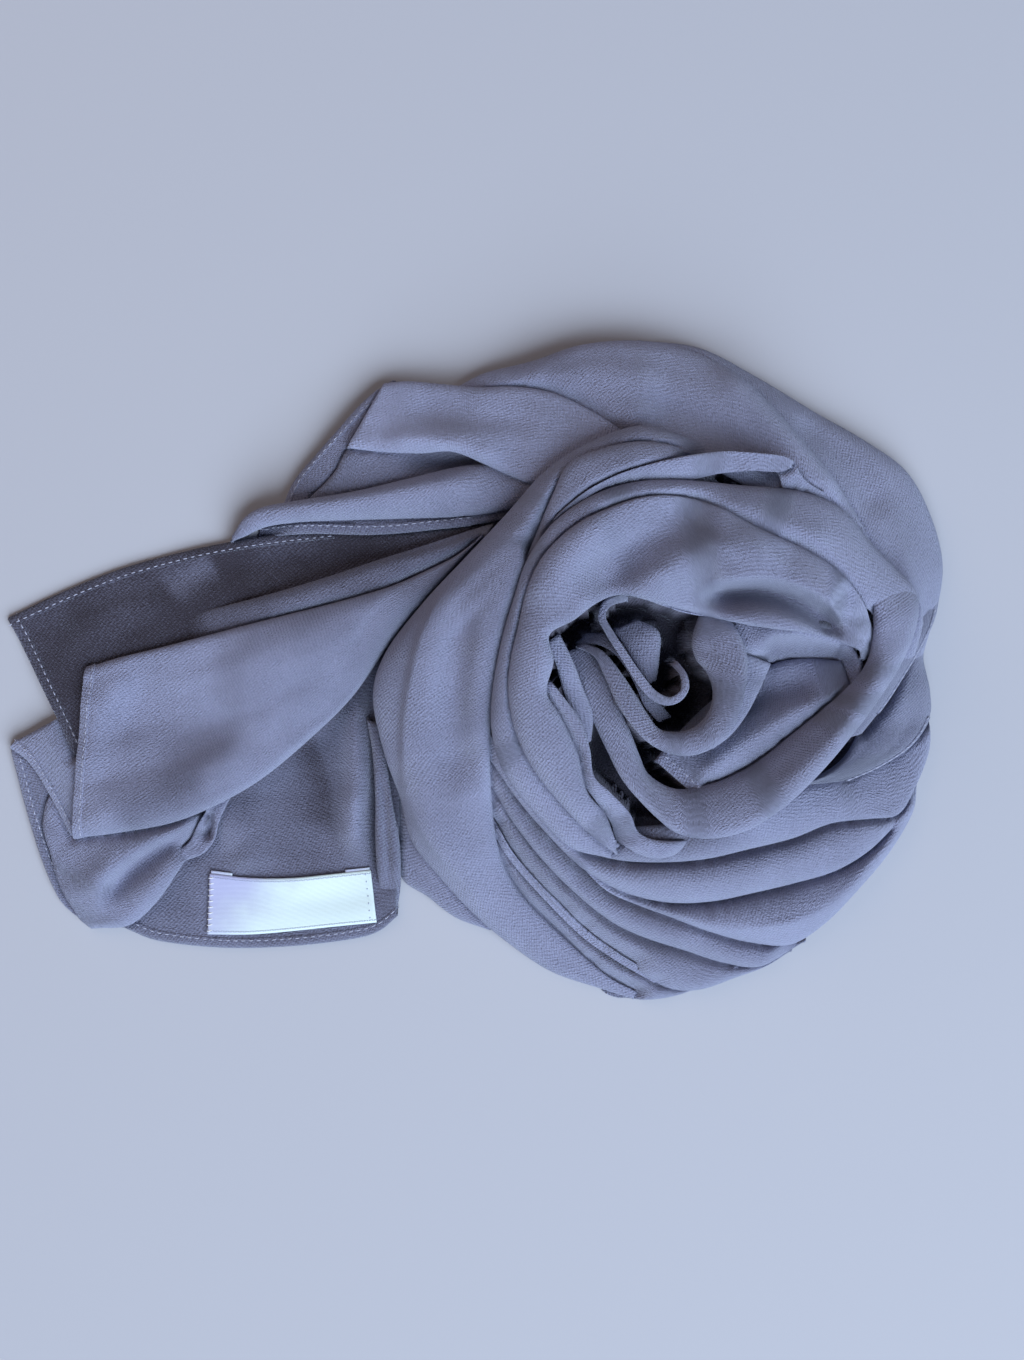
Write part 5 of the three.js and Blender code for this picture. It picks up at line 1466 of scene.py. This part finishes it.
def hem(stretch, side, first, last):
    """The turned hem along a side: a band on the cloth, raised by HEM_THICKNESS × the root of two smooth
    steps that round its borders off, and drawn in along its seam, once for each stitch, by a bell curve
    across it × a cosine along it."""
    insets = np.array([0.0, 0.12, 0.3, 0.6, 1.1, 1.8, 2.5, 2.9, SEAM_INSET, 3.6, 3.85, 4.05, HEM_WIDTH])
    grid, run = stretch.band(side, first, last, insets, 0.55)
    borders = smoothly((insets + 0.15) / 0.6) * smoothly((HEM_WIDTH + 0.05 - insets) / 0.5)
    rise = HEM_THICKNESS * np.sqrt(borders) - HEM_SUNK
    sewn = np.exp(-(((insets - SEAM_INSET) / 0.7) ** 2))
    pull = 0.5 - 0.5 * np.cos(2 * math.pi * run / STITCH_PITCH)
    rise = rise[None, :] - SEAM_DEPTH * sewn[None, :] * (1 - pull[:, None])
    rise = rise + SEAM_UNEVEN * soft_noise(run / 5, 0 * run, 31)[:, None] * sewn[None, :]
    grid = grid + normals_of(grid) * rise[..., None]
    faces = upward(grid, grid_faces(*grid.shape[:2]))
    # The hem is painted as light as the mean of its stretch, painted shade and light included, and a little
    # lighter
    tone = np.full(grid.shape[:2], float(stretch.tone.mean()) + HEM_TONE)
    return made("hem_%s_%s" % (stretch.name, side), grid, faces, lengths_along(grid), tone)


def threads_at(middle, way, lift, length, thickness):
    """Stitches as short rounded rods: five rings of six points, half as wide at the ends, round an arc that
    dips into the cloth by the square of the distance from its middle. Two quads close each end."""
    along = np.array([-1.0, -0.7, 0.0, 0.7, 1.0])
    girth = np.array([0.5, 0.9, 1.0, 0.9, 0.5])
    turn = np.arange(6) * math.pi / 3
    side = np.cross(way, lift)
    side = side / np.linalg.norm(side, axis=1)[:, None]
    spine = middle[:, None] + way[:, None] * (along * length / 2)[None, :, None]
    spine = spine - lift[:, None] * (thickness * 0.9 * along**2)[None, :, None]
    across, upwards = np.cos(turn)[:, None], np.sin(turn)[:, None]
    ring = side[:, None, None] * across + lift[:, None, None] * upwards
    points = spine[:, :, None] + ring * (girth * thickness / 2)[None, :, None, None]
    caps = [[5, 4, 3, 0], [3, 2, 1, 0], [24, 27, 28, 29], [24, 25, 26, 27]]
    faces = np.vstack([grid_faces(len(along), len(turn), closed=True), caps])
    faces = faces[None] + len(along) * len(turn) * np.arange(len(middle))[:, None, None]
    return points.reshape(-1, 3), faces.reshape(-1, 4)


def stitches(stretch, side, first, last, inset, pitch, length, thickness, raised):
    """The rods of one line of stitches along a side, this far in from it and raised off the cloth."""
    near = inset + np.array([-0.5, 0.0, 0.5])
    grid, run = stretch.band(side, first, last, near, pitch)
    way = np.gradient(grid[:, 1], axis=0)
    way = way / np.linalg.norm(way, axis=1)[:, None]
    lift = np.cross(way, grid[:, 2] - grid[:, 0])
    lift = lift / np.linalg.norm(lift, axis=1)[:, None]
    lift = lift * np.where(lift[:, 2:] < 0, -1.0, 1.0)
    return threads_at(grid[:, 1] + lift * raised, way, lift, length, thickness)


def joined(name, parts):
    """One object from several sets of points and faces."""
    starts = np.cumsum([0] + [len(points) for points, _ in parts[:-1]])
    points = np.vstack([points for points, _ in parts])
    faces = np.vstack([faces + start for (_, faces), start in zip(parts, starts)])
    return made(name, points, faces)


def label_threads(along_mm, up_mm, turn, length, thickness):
    """Stitches on the label: rods along a direction turned by some degrees from the label's length."""
    middle = on_label(along_mm, up_mm, LABEL_THREAD_LIFT)
    along, up = 0.3 * np.cos(np.radians(turn)), 0.3 * np.sin(np.radians(turn))
    way = on_label(along_mm + along, up_mm + up, LABEL_THREAD_LIFT) - middle
    way = way / np.linalg.norm(way, axis=1)[:, None]
    side = on_label(along_mm - up, up_mm + along, LABEL_THREAD_LIFT) - middle
    lift = np.cross(way, side)
    lift = lift / np.linalg.norm(lift, axis=1)[:, None]
    return threads_at(middle, way, lift * np.where(lift[:, 2:] < 0, -1.0, 1.0), length, thickness)


# A woven zigzag along both long borders, whip stitches at the left end, and a row of dots at the right one
zigzag = np.arange(1.4, 59.0, 0.87)
slant = np.where(np.arange(len(zigzag)) % 2 == 0, 38.0, -38.0)
edges = [label_threads(zigzag, 0 * zigzag + up, slant, 0.95, 0.30) for up in (1.0, 18.5)]
finished(joined("label_edge_weave", edges), EDGE_THREAD)
whip = np.arange(1.2, 19.6, 1.9)
whips = label_threads(0 * whip + 0.75, whip, np.full(len(whip), 12.0), 2.3, THREAD_THICKNESS)
finished(joined("label_stitches", [whips]), LABEL_THREAD)
dots = np.arange(2.0, 19.0, 2.7)
row = label_threads(0 * dots + 57.2, dots, np.full(len(dots), 80.0), 0.8, THREAD_THICKNESS)
finished(joined("label_end_stitches", [row]), EDGE_THREAD)

# Stretch, side, and the shares of that side between which its hem shows
HEMS = [
    ("corner_panel", "a", 0.0, 0.66),
    ("corner_panel", "start", 0.0, 1.0),
    ("front_panel", "start", 0.0, 1.0),
    ("corner_flap", "a", 0.0, 1.0),
    ("left_hem_corner", "a", 0.0, 1.0),
    ("label_panel", "a", 0.0, 1.0),
    ("back_hem", "b", 0.0, 0.75),
    ("flap_under", "a", 0.0, 0.9),
    ("petal_hemmed", "start", 0.05, 0.95),
    ("right_fold_high", "a", 0.0, 0.85),
    ("right_fold_low", "a", 0.45, 1.0),
]

for name, side, first, last in HEMS:
    stretch = by_name[name]
    finished(hem(stretch, side, first, last), CREPE)
    seam = (SEAM_INSET, STITCH_PITCH, STITCH_LENGTH, THREAD_THICKNESS, HEM_THICKNESS - 0.06)
    row = stitches(stretch, side, first, last, *seam)
    finished(joined("stitches_%s_%s" % (name, side), [row]), THREAD)

# Table, light and camera


TABLE_HALF = 1500
TABLE_HEIGHT = -0.3

corners = [(x * TABLE_HALF, y * TABLE_HALF, TABLE_HEIGHT) for x, y in ((-1, -1), (1, -1), (1, 1), (-1, 1))]
table = made("table", corners, [(0, 1, 2, 3)])
pale, _, shader = finish_of("pale table", Roughness=0.7, **{"Specular IOR Level": 0.2})
shader.inputs["Base Color"].default_value = (0.405, 0.415, 0.475, 1)
table.data.materials.append(pale)


def area_light(name, place, target, size, power, colour):
    """A flat light at a place, turned towards a target, all in metres."""
    data = bpy.data.lights.new(name, "AREA")
    data.shape = "RECTANGLE"
    data.size, data.size_y = size
    data.energy = power
    data.color = colour
    obj = bpy.data.objects.new(name, data)
    bpy.context.scene.collection.objects.link(obj)
    obj.location = place
    way = np.array(target, float) - np.array(place, float)
    flat = math.hypot(way[0], way[1])
    obj.rotation_euler = (math.atan2(flat, -way[2]), 0, math.atan2(-way[0], way[1]))


area_light("window", (1.30, -2.05, 2.30), (0.02, 0, 0), size=(4.2, 2.8), power=260, colour=(0.76, 0.875, 1.0))
area_light("room", (-0.9, 0.7, 1.0), (0, 0, 0), size=(1.4, 1.4), power=7, colour=(1.0, 0.79, 0.66))

world = bpy.data.worlds.new("room light")
world.use_nodes = True
background = world.node_tree.nodes["Background"]
background.inputs["Color"].default_value = (0.74, 0.76, 0.90, 1)
background.inputs["Strength"].default_value = 0.10
bpy.context.scene.world = world
bpy.context.scene.view_settings.view_transform = "Standard"

camera_data = bpy.data.cameras.new("camera")
camera = bpy.data.objects.new("camera", camera_data)
bpy.context.scene.collection.objects.link(camera)
eye = VIEW_CENTRE + PLAN_SHIFT
camera.location = (eye[0] * MM, eye[1] * MM, VIEW_HEIGHT * MM)
camera_data.sensor_width = SENSOR_WIDTH
camera_data.lens = SENSOR_WIDTH * VIEW_HEIGHT / VIEW_LENGTH
camera_data.clip_start = 10 * MM
bpy.context.scene.camera = camera

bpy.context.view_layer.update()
